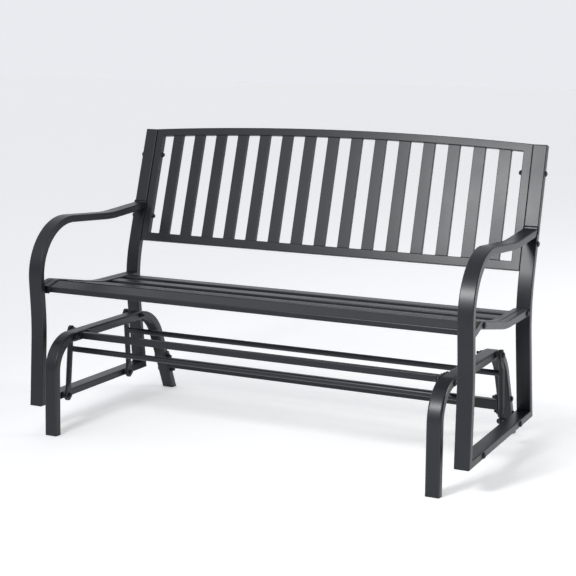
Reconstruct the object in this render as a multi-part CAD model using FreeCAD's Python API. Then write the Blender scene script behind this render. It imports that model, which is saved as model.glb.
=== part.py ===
import FreeCAD, Part
import math
import os

V = FreeCAD.Vector
os.makedirs("parts", exist_ok=True)

# All sizes are in millimetres. X runs along the bench, Y from the front to
# the back and Z up. The origin is on the floor at the centre of the stand.
# Right means the side with positive X, and left is its mirror image.

# Overall sizes
bench_width = 1270.0
ground_clearance = 70.0
tube_wall = 1.5
least_bore_corner = 0.6

# Rectangular tube of the two bench side frames
side_tube_width = 40.0
side_tube_depth = 20.0
side_tube_corner = 3.0
side_x = bench_width / 2 - side_tube_width / 2
side_inner_x = bench_width / 2 - side_tube_width

# Front leg and arm, as corner points (y, z) of the tube's centreline
leg_foot = (-294.0, ground_clearance)
leg_knee = (-284.6, 298.0)
arm_corner = (-309.7, 585.5)
arm_dip = (52.0, 563.8)
arm_rear_slope = 0.068
leg_bend_radii = [800.0, 145.0, 500.0]

# Rear post, as a lower and an upper run of the centreline
post_knee = (186.0, 383.6)
post_lower_slope = -0.148
post_upper_slope = 0.305
post_bend_radius = 400.0
post_top_z = 802.0
back_bolt_z = [545.4, 729.5]
post_cap_thickness = 3.0
post_cap_plug_depth = 12.0
post_cap_edge = 1.0
plug_clearance = 0.15
plug_corner = 1.0

# Seat rail: square tube between the front leg and the rear post
rail_tube = 20.0
rail_corner = 2.5
rail_outset = 5.0
rail_x = side_x + rail_outset
seat_front_slope = 0.302
seat_crest = (-227.0, 416.0)
seat_level = (-8.0, 376.5)
seat_crest_radius = 50.0
seat_level_radius = 430.0
seat_crest_sag = 0.5
seat_bolt_y = [-205.0, 173.0]

# Seat: end bars beside the rails, and slats between the end bars
end_bar_width = 20.0
end_bar_height = 20.0
end_bar_corner = 2.5
end_bar_outer_x = rail_x - rail_tube / 2
end_bar_inner_x = end_bar_outer_x - end_bar_width
end_bar_front_y = -272.0
end_bar_rear_y = 182.0
slat_count = 6
slat_width = 39.0
slat_gap = 37.0
slat_thickness = 15.0
slat_drop = (end_bar_height - slat_thickness) / 2
slat_corner = 2.5
slat_wall = 1.2
front_slat_rear_y = -229.0

# Back panel, laid out in the plane of the upper rear posts
panel_tube_depth = 15.0
panel_tube_corner = 2.0
panel_half_width = side_inner_x
stile_width = 25.0
back_rail_height = 25.0
crown_rail_height = 22.5
panel_bottom_z = 471.5
crown_end_z = 806.0
crown_middle_z = 824.3
back_slat_count = 15
back_end_gap = 33.8
back_slat_width = 35.0
back_slat_thickness = 10.0
back_slat_corner = 1.5

# Stand: one bent tube each side, two crossbars between them
stand_side_gap = 26.0
stand_tube_width = 37.5
stand_tube_depth = 24.0
stand_tube_corner = 5.0
stand_outer_x = side_inner_x - stand_side_gap
stand_inner_x = stand_outer_x - stand_tube_width
stand_x = stand_inner_x + stand_tube_width / 2
stand_front_y = -314.5
stand_rail_z = 260.0
stand_rear_foot_y = 305.0
stand_rear_slope = -0.441
stand_bend_radii = [86.0, 125.0]
foot_cap_height = 15.0
foot_cap_base = 3.0

# Swing links and their cross tubes
link_side_gap = 8.0
link_tube_diameter = 16.0
link_eye_width = 25.0
link_eye_thickness = 8.0
link_x = side_inner_x - link_side_gap - link_eye_thickness / 2
link_eye_tip = 14.5
link_eye_flat = 34.0
link_taper = 18.0
top_pivot_z = 263.0
low_pivot_z = ground_clearance + side_tube_depth / 2
front_top_pivot_y = -181.0
front_low_pivot_y = -197.0
rear_top_pivot_y = 104.0
rear_low_pivot_y = 120.0
swing_bar_drop = 51.0
swing_bar_diameter = 16.0

# Crossbars of the stand
front_crossbar_side = 18.0
front_bolt_y = -232.0
front_crossbar_y = (front_top_pivot_y + front_bolt_y) / 2
rear_crossbar_depth = 22.0
rear_crossbar_height = 28.0
rear_crossbar_z = 85.0
rear_plate_z = 85.0
rear_bolt_spacing = 46.0
crossbar_corner = 2.5
crossbar_plate = 3.0
plate_width = 24.0
plate_margin = 12.0
plate_corner = 4.0

# Fasteners and bushes
bolt_diameter = 8.0
bolt_clearance = 0.25
bolt_head_diameter = 16.0
bolt_head_height = 5.0
head_rim_height = 1.0
head_dome_point = (7.0, 3.5)
head_flat_diameter = 10.0
socket_width = 5.0
socket_depth = 2.5
nut_width = 13.0
nut_height = 6.5
nut_chamfer_height = 1.2
nut_chamfer_diameter = 16.0
cap_nut_height = 8.0
cap_nut_roof = 2.0
cap_nut_skirt = 4.0
cap_nut_dome_radius = 7.0
cap_nut_dome_inset = 0.2
stand_thread_end = 6.0
seat_bolt_reach = 7.0
bush_diameter = 14.0
flange_diameter = 20.0
running_clearance = 0.05
open_pivot_clearance = 0.7
face_gap = 0.3


def yz_path(corners, radii):
    """Join corners (y, z) by straight runs with a tangent arc at each bend."""
    points = [V(0, y, z) for y, z in corners]
    edges = []
    start = points[0]
    for index, radius in enumerate(radii, 1):
        corner = points[index]
        back = (points[index - 1] - corner).normalize()
        ahead = (points[index + 1] - corner).normalize()
        half = back.getAngle(ahead) / 2
        reach = radius / math.tan(half)
        inward = (back + ahead).normalize()
        first = corner + back * reach
        last = corner + ahead * reach
        middle = corner + inward * (radius / math.sin(half) - radius)
        edges.append(Part.LineSegment(start, first).toShape())
        edges.append(Part.Arc(first, middle, last).toShape())
        start = last
    edges.append(Part.LineSegment(start, points[-1]).toShape())
    return Part.Wire(edges)


def rounded_rectangle(width, depth, corner):
    """Outline in the XY plane centred on the origin."""
    a = width / 2
    b = depth / 2
    c = a - corner
    d = b - corner
    q = corner * math.sqrt(0.5)
    sides = [
        Part.LineSegment(V(-c, -b, 0), V(c, -b, 0)),
        Part.Arc(V(c, -b, 0), V(c + q, -d - q, 0), V(a, -d, 0)),
        Part.LineSegment(V(a, -d, 0), V(a, d, 0)),
        Part.Arc(V(a, d, 0), V(c + q, d + q, 0), V(c, b, 0)),
        Part.LineSegment(V(c, b, 0), V(-c, b, 0)),
        Part.Arc(V(-c, b, 0), V(-c - q, d + q, 0), V(-a, d, 0)),
        Part.LineSegment(V(-a, d, 0), V(-a, -d, 0)),
        Part.Arc(V(-a, -d, 0), V(-c - q, -d - q, 0), V(-c, -b, 0)),
    ]
    return Part.Wire([side.toShape() for side in sides])


def turned(shape, tangent, point):
    """Turn a shape so that its Z axis lies along a YZ direction, then move it."""
    angle = math.degrees(math.atan2(-tangent.y, tangent.z))
    copy = shape.copy()
    copy.rotate(V(0, 0, 0), V(1, 0, 0), angle)
    copy.translate(point)
    return copy


def swept(path, width, depth, corner, x):
    """Solid bar of rounded rectangular section along a path in the YZ plane."""
    first = path.OrderedEdges[0]
    start = first.valueAt(first.FirstParameter)
    tangent = first.tangentAt(first.FirstParameter)
    outline = turned(rounded_rectangle(width, depth, corner), tangent, start)
    pipe = Part.BRepOffsetAPI.MakePipeShell(path)
    pipe.setBiNormalMode(V(1, 0, 0))
    pipe.add(outline)
    pipe.build()
    pipe.makeSolid()
    bar = pipe.shape()
    bar.translate(V(x, 0, 0))
    return bar


def bent_tube(corners, radii, size, x, wall=tube_wall):
    """Hollow tube, size = (width along X, depth, outer corner radius)."""
    width, depth, corner = size
    path = yz_path(corners, radii)
    outer = swept(path, width, depth, corner, x)
    bore_corner = max(corner - wall, least_bore_corner)
    bore = swept(path, width - 2 * wall, depth - 2 * wall, bore_corner, x)
    return outer.cut(bore)


def cross_tube(width, height, corner, wall, half_length):
    """Hollow tube along X, centred on the origin: width along Y, height along Z."""
    shapes = []
    for inset in (0.0, wall):
        bend = max(corner - inset, least_bore_corner)
        outline = rounded_rectangle(height - 2 * inset, width - 2 * inset, bend)
        bar = Part.Face(outline).extrude(V(0, 0, 2 * half_length))
        bar.translate(V(0, 0, -half_length))
        bar.rotate(V(0, 0, 0), V(0, 1, 0), 90)
        shapes.append(bar)
    return shapes[0].cut(shapes[1])


def trimmed(shape, point, outward, reach=100.0):
    """Cut away what lies within reach on the outward side of a plane."""
    block = Part.makeBox(2 * reach, 2 * reach, reach, V(-reach, -reach, 0))
    block.Placement = FreeCAD.Placement(point, FreeCAD.Rotation(V(0, 0, 1), outward))
    return shape.cut(block)


def rod(x_from, x_to, y, z, diameter):
    """Cylinder along X."""
    start = min(x_from, x_to)
    length = abs(x_to - x_from)
    return Part.makeCylinder(diameter / 2, length, V(start, y, z), V(1, 0, 0))


def hexagon(across_flats, height):
    """Hexagonal prism from the XY plane upward."""
    radius = across_flats / math.sqrt(3)
    points = []
    for step in range(7):
        angle = math.radians(60 * step)
        points.append(V(radius * math.cos(angle), radius * math.sin(angle), 0))
    return Part.Face(Part.makePolygon(points)).extrude(V(0, 0, height))


def along_x(shape, x, y, z, sign):
    """Lay a shape built along +Z along +X or -X at the given point."""
    copy = shape.copy()
    copy.rotate(V(0, 0, 0), V(0, 1, 0), 90 * sign)
    copy.translate(V(x, y, z))
    return copy


def bolt(length):
    """Button head bolt: head above the XY plane, shank below it, hexagon socket."""
    centre = V(0, 0, 0)
    base_rim = V(bolt_head_diameter / 2, 0, 0)
    rim = V(bolt_head_diameter / 2, 0, head_rim_height)
    bow = V(head_dome_point[0], 0, head_dome_point[1])
    crown = V(head_flat_diameter / 2, 0, bolt_head_height)
    peak = V(0, 0, bolt_head_height)
    profile = [
        Part.LineSegment(base_rim, rim),
        Part.Arc(rim, bow, crown),
        Part.LineSegment(crown, peak),
        Part.LineSegment(peak, centre),
        Part.LineSegment(centre, base_rim),
    ]
    wire = Part.Wire([side.toShape() for side in profile])
    head = Part.Face(wire).revolve(centre, V(0, 0, 1), 360)
    socket = hexagon(socket_width, socket_depth)
    socket.translate(V(0, 0, bolt_head_height - socket_depth))
    shank = Part.makeCylinder(bolt_diameter / 2, length, V(0, 0, -length))
    return head.fuse(shank).cut(socket).removeSplitter()


def nut():
    """Hexagon nut standing on the XY plane with chamfered top corners."""
    straight = nut_height - nut_chamfer_height
    wide = nut_chamfer_diameter / 2
    body = hexagon(nut_width, nut_height)
    cone = Part.makeCone(wide, nut_width / 2, nut_chamfer_height, V(0, 0, straight))
    body = body.common(cone.fuse(Part.makeCylinder(wide, straight)))
    return body.cut(Part.makeCylinder(bolt_diameter / 2, nut_height))


def cap_nut():
    """Low dome nut standing on the XY plane, bored part way."""
    body = hexagon(nut_width, cap_nut_skirt)
    dome = Part.makeSphere(cap_nut_dome_radius, V(0, 0, cap_nut_height - cap_nut_dome_radius))
    body = body.fuse(dome.common(Part.makeCylinder(nut_width / 2 - cap_nut_dome_inset, cap_nut_height)))
    bore = Part.makeCylinder(bolt_diameter / 2, cap_nut_height - cap_nut_roof)
    return body.removeSplitter().cut(bore)


def mirrored(shape):
    """Mirror image on the other side of the bench."""
    return shape.mirror(V(0, 0, 0), V(1, 0, 0))


def write(name, shape):
    """Save one node as a STEP file and print its size."""
    solids = shape.Solids
    body = solids[0] if len(solids) == 1 else Part.makeCompound(solids)
    if not body.isValid():
        print("INVALID", name)
    body.exportStep("parts/" + name + ".step")
    box = body.BoundBox
    print(
        "%-24s solids %2d volume %9.0f  x %7.1f %7.1f  y %7.1f %7.1f  z %7.1f %7.1f"
        % (name, len(solids), body.Volume, box.XMin, box.XMax, box.YMin, box.YMax, box.ZMin, box.ZMax)
    )


def both_sides(name, shape):
    """Write a right hand piece and its left hand mirror image."""
    write("right_" + name, shape)
    write("left_" + name, mirrored(shape))


def unit(dy, dz):
    """Unit direction in the YZ plane."""
    return V(0, dy, dz).normalize()


# Directions of the side frame that several pieces share
side_size = (side_tube_width, side_tube_depth, side_tube_corner)
half_depth = side_tube_depth / 2
leg_run = unit(leg_knee[0] - leg_foot[0], leg_knee[1] - leg_foot[1])
leg_upper_run = unit(arm_corner[0] - leg_knee[0], arm_corner[1] - leg_knee[1])
leg_slope = leg_run.y / leg_run.z
post_run = unit(post_upper_slope, 1)
post_lower_run = unit(post_lower_slope, 1)
post_foot_y = post_knee[0] + post_lower_slope * (ground_clearance - post_knee[1])
rail_top_z = ground_clearance + side_tube_depth
overrun = 20.0


def behind(run, distance):
    """Offset square to a rising run, toward the back."""
    return V(0, run.z * distance, -run.y * distance)


def on_post(z, x=side_x):
    """Point of the upper post's centreline at a height."""
    return V(x, post_knee[0] + post_upper_slope * (z - post_knee[1]), z)


def mitre(outer, inner):
    """Point and normal of a mitre plane, with the normal toward the bottom rail."""
    across = inner - outer
    return outer, V(0, abs(across.z) * math.copysign(1, across.y), -abs(across.y)).normalize()


# Mitre planes at the two lower corners of the side frame
leg_half = half_depth / leg_run.z
leg_outer = V(side_x, leg_foot[0] - leg_half, ground_clearance)
leg_inner = V(side_x, leg_foot[0] + leg_slope * side_tube_depth + leg_half, rail_top_z)
front_mitre = mitre(leg_outer, leg_inner)
post_half = half_depth / post_lower_run.z
post_outer = V(side_x, post_foot_y + post_half, ground_clearance)
post_inner = V(side_x, post_foot_y + post_lower_slope * side_tube_depth - post_half, rail_top_z)
rear_mitre = mitre(post_outer, post_inner)
hole_diameter = bolt_diameter + 2 * bolt_clearance
low_pivots = [front_low_pivot_y, rear_low_pivot_y]

# Front leg and arm: one bent tube from the floor corner to the rear post
arm_end_y = 260.0
leg_start = (leg_foot[0] - leg_slope * overrun, leg_foot[1] - overrun)
arm_end = (arm_end_y, arm_dip[1] + arm_rear_slope * (arm_end_y - arm_dip[0]))
leg_arm_corners = [leg_start, leg_knee, arm_corner, arm_dip, arm_end]
leg_arm = bent_tube(leg_arm_corners, leg_bend_radii, side_size, side_x)
leg_arm = trimmed(leg_arm, front_mitre[0], front_mitre[1])
arm_seat = on_post(arm_end[1]) - behind(post_run, half_depth)
leg_arm = trimmed(leg_arm, arm_seat, behind(post_run, 1))
both_sides("front_leg_arm", leg_arm)

# Rear post: bent once, mitred at the bottom, with two bolt holes for the back
post_start = (post_foot_y - post_lower_slope * overrun, ground_clearance - overrun)
post_top = on_post(post_top_z)
post_corners = [post_start, post_knee, (post_top.y, post_top.z)]
rear_post = bent_tube(post_corners, [post_bend_radius], side_size, side_x)
rear_post = trimmed(rear_post, rear_mitre[0], rear_mitre[1])
for z in back_bolt_z:
    hole = on_post(z)
    rear_post = rear_post.cut(rod(side_inner_x, bench_width / 2, hole.y, z, hole_diameter))
both_sides("rear_post", rear_post)
post_envelope = swept(yz_path(post_corners, [post_bend_radius]), *side_size, side_x)

# Bottom rail: mitred to the leg and the post, drilled for the lower pivots
rail_ends = [(leg_foot[0] - overrun, low_pivot_z), (post_foot_y + overrun, low_pivot_z)]
bottom_rail = bent_tube(rail_ends, [], side_size, side_x)
bottom_rail = trimmed(bottom_rail, front_mitre[0], V(0, 0, 0) - front_mitre[1])
bottom_rail = trimmed(bottom_rail, rear_mitre[0], V(0, 0, 0) - rear_mitre[1])
for y in low_pivots:
    bottom_rail = bottom_rail.cut(rod(side_inner_x, bench_width / 2, y, low_pivot_z, hole_diameter))
both_sides("bottom_rail", bottom_rail)

# Post cap: a top plate with a plug that fills the end of the post
cap_plate_outline = rounded_rectangle(side_tube_width, side_tube_depth, side_tube_corner)
cap_plate = Part.Face(cap_plate_outline).extrude(V(0, 0, post_cap_thickness))
top_edges = [e for e in cap_plate.Edges if e.BoundBox.ZMin > post_cap_thickness - 0.01]
cap_plate = cap_plate.makeFillet(post_cap_edge, top_edges)
plug_inset = 2 * (tube_wall + plug_clearance)
plug_width = side_tube_width - plug_inset
plug_outline = rounded_rectangle(plug_width, side_tube_depth - plug_inset, plug_corner)
cap_plug = Part.Face(plug_outline).extrude(V(0, 0, -post_cap_plug_depth))
post_cap = turned(cap_plate.fuse(cap_plug), post_run, post_top)
both_sides("post_cap", post_cap)


def seat_line(depth, front_y, rear_y):
    """Corners of a line that runs at a depth below the top of the seat."""
    fall = (seat_level[1] - seat_crest[1]) / (seat_level[0] - seat_crest[0])
    drop_front = -depth * math.hypot(1, seat_front_slope)
    drop_fall = -depth * math.hypot(1, fall)
    crest_y = seat_crest[0] + (drop_fall - drop_front) / (seat_front_slope - fall)
    crest_z = seat_crest[1] + seat_front_slope * (crest_y - seat_crest[0]) + drop_front
    level_y = seat_level[0] + (-depth - drop_fall) / fall
    level_z = seat_level[1] - depth
    front_z = crest_z - seat_front_slope * (crest_y - front_y)
    corners = [(front_y, front_z), (crest_y, crest_z), (level_y, level_z), (rear_y, level_z)]
    return corners, [seat_crest_radius - depth, seat_level_radius + depth]


def seat_top(y):
    """Height of the top of the seat, with its bends taken as corners."""
    if y >= seat_level[0]:
        return seat_level[1]
    if y >= seat_crest[0]:
        fall = (seat_level[1] - seat_crest[1]) / (seat_level[0] - seat_crest[0])
        return seat_crest[1] + fall * (y - seat_crest[0])
    return seat_crest[1] + seat_front_slope * (y - seat_crest[0])


# Seat rail: from the front leg to the rear post, coped to the post's bend
rail_size = (rail_tube, rail_tube, rail_corner)
rail_corners, rail_radii = seat_line(rail_tube / 2, leg_foot[0], post_knee[0] + half_depth)
seat_rail = bent_tube(rail_corners, rail_radii, rail_size, rail_x)
leg_rear = V(side_x, leg_knee[0], leg_knee[1]) + behind(leg_upper_run, half_depth)
leg_rear = leg_rear + leg_upper_run * (seat_crest[1] - leg_knee[1])
seat_rail = trimmed(seat_rail, leg_rear, behind(leg_upper_run, -1))
seat_rail = seat_rail.cut(post_envelope)
seat_bolt_points = []
for y in seat_bolt_y:
    seat_bolt_points.append((y, min(seat_top(y), seat_crest[1]) - rail_tube / 2))
rail_outer_x = rail_x + rail_tube / 2
for y, z in seat_bolt_points:
    seat_rail = seat_rail.cut(rod(end_bar_outer_x, rail_outer_x, y, z, hole_diameter))
both_sides("seat_rail", seat_rail)

# Seat end bar: follows the rail and carries the ends of the slats
end_bar_size = (end_bar_width, end_bar_height, end_bar_corner)
bar_corners, bar_radii = seat_line(end_bar_height / 2, end_bar_front_y - overrun, end_bar_rear_y)
end_bar_x = end_bar_outer_x - end_bar_width / 2
end_bar = bent_tube(bar_corners, bar_radii, end_bar_size, end_bar_x, slat_wall)
end_bar = trimmed(end_bar, V(end_bar_x, end_bar_front_y, seat_top(end_bar_front_y)), V(0, -1, 0))
for y, z in seat_bolt_points:
    end_bar = end_bar.cut(rod(end_bar_x, end_bar_outer_x, y, z, hole_diameter))
both_sides("seat_end_bar", end_bar)

# Front seat slat: sloped top and a plumb front face
slat_front_top = (end_bar_front_y, seat_top(end_bar_front_y) - slat_drop)
slat_rear_top = (front_slat_rear_y, seat_top(front_slat_rear_y) - slat_drop - seat_crest_sag)
section = [
    V(0, slat_front_top[0], slat_front_top[1]),
    V(0, slat_front_top[0], slat_front_top[1] - slat_thickness),
    V(0, slat_rear_top[0], slat_rear_top[1] - slat_thickness),
    V(0, slat_rear_top[0], slat_rear_top[1]),
]
section_wire = Part.makePolygon(section + section[:1])
bore_wire = section_wire.makeOffset2D(-slat_wall)
front_slat = Part.Face(section_wire).extrude(V(2 * end_bar_inner_x, 0, 0))
long_edges = [e for e in front_slat.Edges if e.BoundBox.XLength > end_bar_inner_x]
front_slat = front_slat.makeFillet(slat_corner, long_edges)
front_slat = front_slat.cut(Part.Face(bore_wire).extrude(V(2 * end_bar_inner_x, 0, 0)))
front_slat.translate(V(-end_bar_inner_x, 0, 0))
write("seat_slat_1", front_slat)

# The other seat slats: flat tubes laid on the line of the seat
for number in range(2, slat_count + 1):
    front_y = front_slat_rear_y + slat_gap + (number - 2) * (slat_width + slat_gap)
    rear_y = front_y + slat_width
    front_z = seat_top(front_y) - slat_drop
    rear_z = seat_top(rear_y) - slat_drop
    chord = math.hypot(rear_y - front_y, rear_z - front_z)
    slat = cross_tube(chord, slat_thickness, slat_corner, slat_wall, end_bar_inner_x)
    slat.rotate(V(0, 0, 0), V(1, 0, 0), math.degrees(math.atan2(rear_z - front_z, chord)))
    below = unit(front_z - rear_z, rear_y - front_y) * (-slat_thickness / 2)
    slat.translate(V(0, (front_y + rear_y) / 2, (front_z + rear_z) / 2) + below)
    write("seat_slat_%d" % number, slat)

# Back panel: drawn flat with X across and Y up the panel, then laid on the posts
panel_origin = on_post(panel_bottom_z, 0)
panel_angle = math.degrees(math.atan2(post_run.z, post_run.y))
crown_end = (crown_end_z - panel_bottom_z) / post_run.z
crown_middle = (crown_middle_z - panel_bottom_z) / post_run.z
crown_rise = crown_middle - crown_end
crown_radius = (panel_half_width ** 2 + crown_rise ** 2) / (2 * crown_rise)
crown_centre = crown_middle - crown_radius


def on_panel(shape):
    """Lay a shape drawn in the flat panel onto the line of the posts."""
    copy = shape.copy()
    copy.rotate(V(0, 0, 0), V(1, 0, 0), panel_angle)
    copy.translate(panel_origin)
    return copy


def crown_arc(height, depth, corner, inset=0.0):
    """Arched bar whose outline is shrunk all round by an inset."""
    bend = max(corner - inset, least_bore_corner)
    outline = rounded_rectangle(depth - 2 * inset, height - 2 * inset, bend)
    outline.rotate(V(0, 0, 0), V(0, 1, 0), 90)
    outline.translate(V(0, crown_middle - height / 2, 0))
    half_sweep = math.degrees(math.asin((panel_half_width + overrun) / crown_radius))
    centre = V(0, crown_centre, 0)
    outline.rotate(centre, V(0, 0, 1), -half_sweep)
    return Part.Face(outline).revolve(centre, V(0, 0, 1), 2 * half_sweep)


def upright_tube(width, depth, corner, wall, length):
    """Hollow tube along Y from the origin: width along X, depth along Z."""
    shapes = []
    for inset in (0.0, wall):
        bend = max(corner - inset, least_bore_corner)
        outline = rounded_rectangle(width - 2 * inset, depth - 2 * inset, bend)
        bar = Part.Face(outline).extrude(V(0, 0, length))
        bar.rotate(V(0, 0, 0), V(1, 0, 0), -90)
        shapes.append(bar)
    return shapes[0].cut(shapes[1])


def crown_height(x, below=0.0):
    """Height up the panel of the crown line, or of an arc below it."""
    return crown_centre + math.sqrt((crown_radius - below) ** 2 - x ** 2)


# Mitre planes of the panel's corners, with their normals toward the stile
stile_inner_x = panel_half_width - stile_width
top_outer = V(panel_half_width, crown_height(panel_half_width), 0)
top_inner = V(stile_inner_x, crown_height(stile_inner_x, crown_rail_height), 0)
top_across = top_outer - top_inner
top_normal = V(top_across.y, -top_across.x, 0).normalize()
low_outer = V(panel_half_width, 0, 0)
low_normal = V(back_rail_height, stile_width, 0).normalize()


def mitred_both_ends(shape, point, normal):
    """Cut the stile side away at the right end and at the left end."""
    shape = trimmed(shape, point, normal)
    return trimmed(shape, V(-point.x, point.y, 0), V(-normal.x, normal.y, 0))


# Arched top rail and straight bottom rail of the back
crown_size = (crown_rail_height, panel_tube_depth, panel_tube_corner)
crown_envelope = crown_arc(*crown_size)
top_rail = crown_envelope.cut(crown_arc(*crown_size, tube_wall))
write("back_top_rail", on_panel(mitred_both_ends(top_rail, top_outer, top_normal)))
low_rail = cross_tube(
    back_rail_height, panel_tube_depth, panel_tube_corner, tube_wall, panel_half_width
)
low_rail.translate(V(0, back_rail_height / 2, 0))
write("back_bottom_rail", on_panel(mitred_both_ends(low_rail, low_outer, low_normal)))

# Stiles: mitred to both rails and drilled for the bolts through the posts
stile = upright_tube(stile_width, panel_tube_depth, panel_tube_corner, tube_wall, crown_middle)
stile.translate(V(panel_half_width - stile_width / 2, 0, 0))
stile = trimmed(stile, top_outer, V(0, 0, 0) - top_normal)
stile = trimmed(stile, low_outer, V(0, 0, 0) - low_normal)
stile = on_panel(stile)
for z in back_bolt_z:
    stile = stile.cut(rod(stile_inner_x, panel_half_width, on_post(z).y, z, hole_diameter))
both_sides("back_stile", stile)

# Back slats: flat upright tubes, cut to the underside of the arched rail
back_slat_span = 2 * (stile_inner_x - back_end_gap) - back_slat_width
back_slat_pitch = back_slat_span / (back_slat_count - 1)
for number in range(back_slat_count):
    x = (number - (back_slat_count - 1) / 2) * back_slat_pitch
    length = crown_height(x, crown_rail_height / 2) - back_rail_height
    slat = upright_tube(back_slat_width, back_slat_thickness, back_slat_corner, slat_wall, length)
    slat.translate(V(x, back_rail_height, 0))
    write("back_slat_%02d" % (number + 1), on_panel(slat.cut(crown_envelope)))

# Stand tube: one tube bent twice, cut level at the rear foot
stand_size = (stand_tube_width, stand_tube_depth, stand_tube_corner)
stand_knee_y = stand_rear_foot_y + stand_rear_slope * stand_rail_z
stand_corners = [
    (stand_front_y, foot_cap_base),
    (stand_front_y, stand_rail_z),
    (stand_knee_y, stand_rail_z),
    (stand_rear_foot_y - stand_rear_slope * overrun, -overrun),
]
stand_tube = bent_tube(stand_corners, stand_bend_radii, stand_size, stand_x)
stand_tube = trimmed(stand_tube, V(stand_x, stand_rear_foot_y, foot_cap_base), V(0, 0, -1))
stand_run = unit(stand_rear_slope, 1)
crossbar_bolts_at = [(front_bolt_y, stand_rail_z)]
for side in (-1, 1):
    z = rear_plate_z + side * rear_bolt_spacing / 2
    crossbar_bolts_at.append((stand_rear_foot_y + stand_rear_slope * z, z))
pivot_holes = [(front_top_pivot_y, top_pivot_z), (rear_top_pivot_y, top_pivot_z)]
for y, z in crossbar_bolts_at + pivot_holes:
    stand_tube = stand_tube.cut(rod(stand_inner_x, stand_outer_x, y, z, hole_diameter))
both_sides("stand_tube", stand_tube)

# Foot caps: plugs in the ends of the stand tube, level on the floor
foot_inset = 2 * (tube_wall + plug_clearance)
feet = (("front", 0.0, stand_front_y), ("rear", stand_rear_slope, stand_rear_foot_y))
for name, slope, foot_y in feet:
    low = (foot_y - slope * overrun, -overrun)
    middle = (foot_y + slope * overrun, overrun)
    high = (foot_y + slope * foot_cap_height, foot_cap_height)
    sole = swept(
        yz_path([low, middle], []), stand_tube_width, stand_tube_depth, stand_tube_corner, stand_x
    )
    sole = trimmed(sole, V(stand_x, foot_y, foot_cap_base), V(0, 0, 1))
    plug = swept(
        yz_path([low, high], []),
        stand_tube_width - foot_inset,
        stand_tube_depth - foot_inset,
        stand_tube_corner - foot_inset / 2,
        stand_x,
    )
    foot_cap = trimmed(sole.fuse(plug), V(stand_x, foot_y, 0), V(0, 0, -1))
    both_sides(name + "_foot_cap", foot_cap)


def end_plate(length, angle, x, y, z, holes):
    """Bolt plate at one end of a crossbar: length along Y before it is turned."""
    plate = Part.makeBox(crossbar_plate, length, plate_width, V(0, -length / 2, -plate_width / 2))
    corners = [e for e in plate.Edges if e.BoundBox.XLength > crossbar_plate / 2]
    plate = plate.makeFillet(plate_corner, corners)
    plate.rotate(V(0, 0, 0), V(1, 0, 0), angle)
    plate.translate(V(x, y, z))
    for hole_y, hole_z in holes:
        plate = plate.cut(rod(x, x + crossbar_plate, hole_y, hole_z, hole_diameter))
    return plate


def crossbar(depth, height, y, z, plate):
    """Tube between two end plates, welded into one piece."""
    bar = cross_tube(depth, height, crossbar_corner, tube_wall, stand_inner_x - crossbar_plate)
    bar.translate(V(0, y, z))
    return bar.fuse(plate).fuse(mirrored(plate))


# Front crossbar: its plates share the front pivot bolts
plate_x = stand_inner_x - crossbar_plate
front_plate_length = front_top_pivot_y - front_bolt_y + 2 * plate_margin
front_holes = [(front_bolt_y, stand_rail_z), (front_top_pivot_y, top_pivot_z)]
front_plate = end_plate(
    front_plate_length, 0, plate_x, front_crossbar_y, stand_rail_z, front_holes
)
front_bar = crossbar(
    front_crossbar_side, front_crossbar_side, front_crossbar_y, stand_rail_z, front_plate
)
write("front_crossbar", front_bar)

# Rear crossbar: its plates lie along the sloping rear legs
rear_crossbar_y = stand_rear_foot_y + stand_rear_slope * rear_crossbar_z
rear_angle = math.degrees(math.atan2(stand_run.z, stand_run.y))
rear_plate_length = rear_bolt_spacing / stand_run.z + 2 * plate_margin
rear_plate_y = stand_rear_foot_y + stand_rear_slope * rear_plate_z
rear_plate = end_plate(
    rear_plate_length, rear_angle, plate_x, rear_plate_y, rear_plate_z, crossbar_bolts_at[1:]
)
rear_bar = crossbar(
    rear_crossbar_depth, rear_crossbar_height, rear_crossbar_y, rear_crossbar_z, rear_plate
)
write("rear_crossbar", rear_bar)


def eye_outline():
    """Flat oval of the pressed end, in the XY plane: thickness X, width Y."""
    a = link_eye_thickness / 2
    c = link_eye_width / 2 - a
    sides = [
        Part.LineSegment(V(a, -c, 0), V(a, c, 0)),
        Part.Arc(V(a, c, 0), V(0, c + a, 0), V(-a, c, 0)),
        Part.LineSegment(V(-a, c, 0), V(-a, -c, 0)),
        Part.Arc(V(-a, -c, 0), V(0, -c - a, 0), V(a, -c, 0)),
    ]
    return Part.Wire([side.toShape() for side in sides])


def round_outline():
    """Circle of the link tube, split to match the flat oval."""
    r = link_tube_diameter / 2
    q = r * math.sqrt(0.5)
    sides = [
        Part.Arc(V(q, -q, 0), V(r, 0, 0), V(q, q, 0)),
        Part.Arc(V(q, q, 0), V(0, r, 0), V(-q, q, 0)),
        Part.Arc(V(-q, q, 0), V(-r, 0, 0), V(-q, -q, 0)),
        Part.Arc(V(-q, -q, 0), V(0, -r, 0), V(q, -q, 0)),
    ]
    return Part.Wire([side.toShape() for side in sides])


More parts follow.
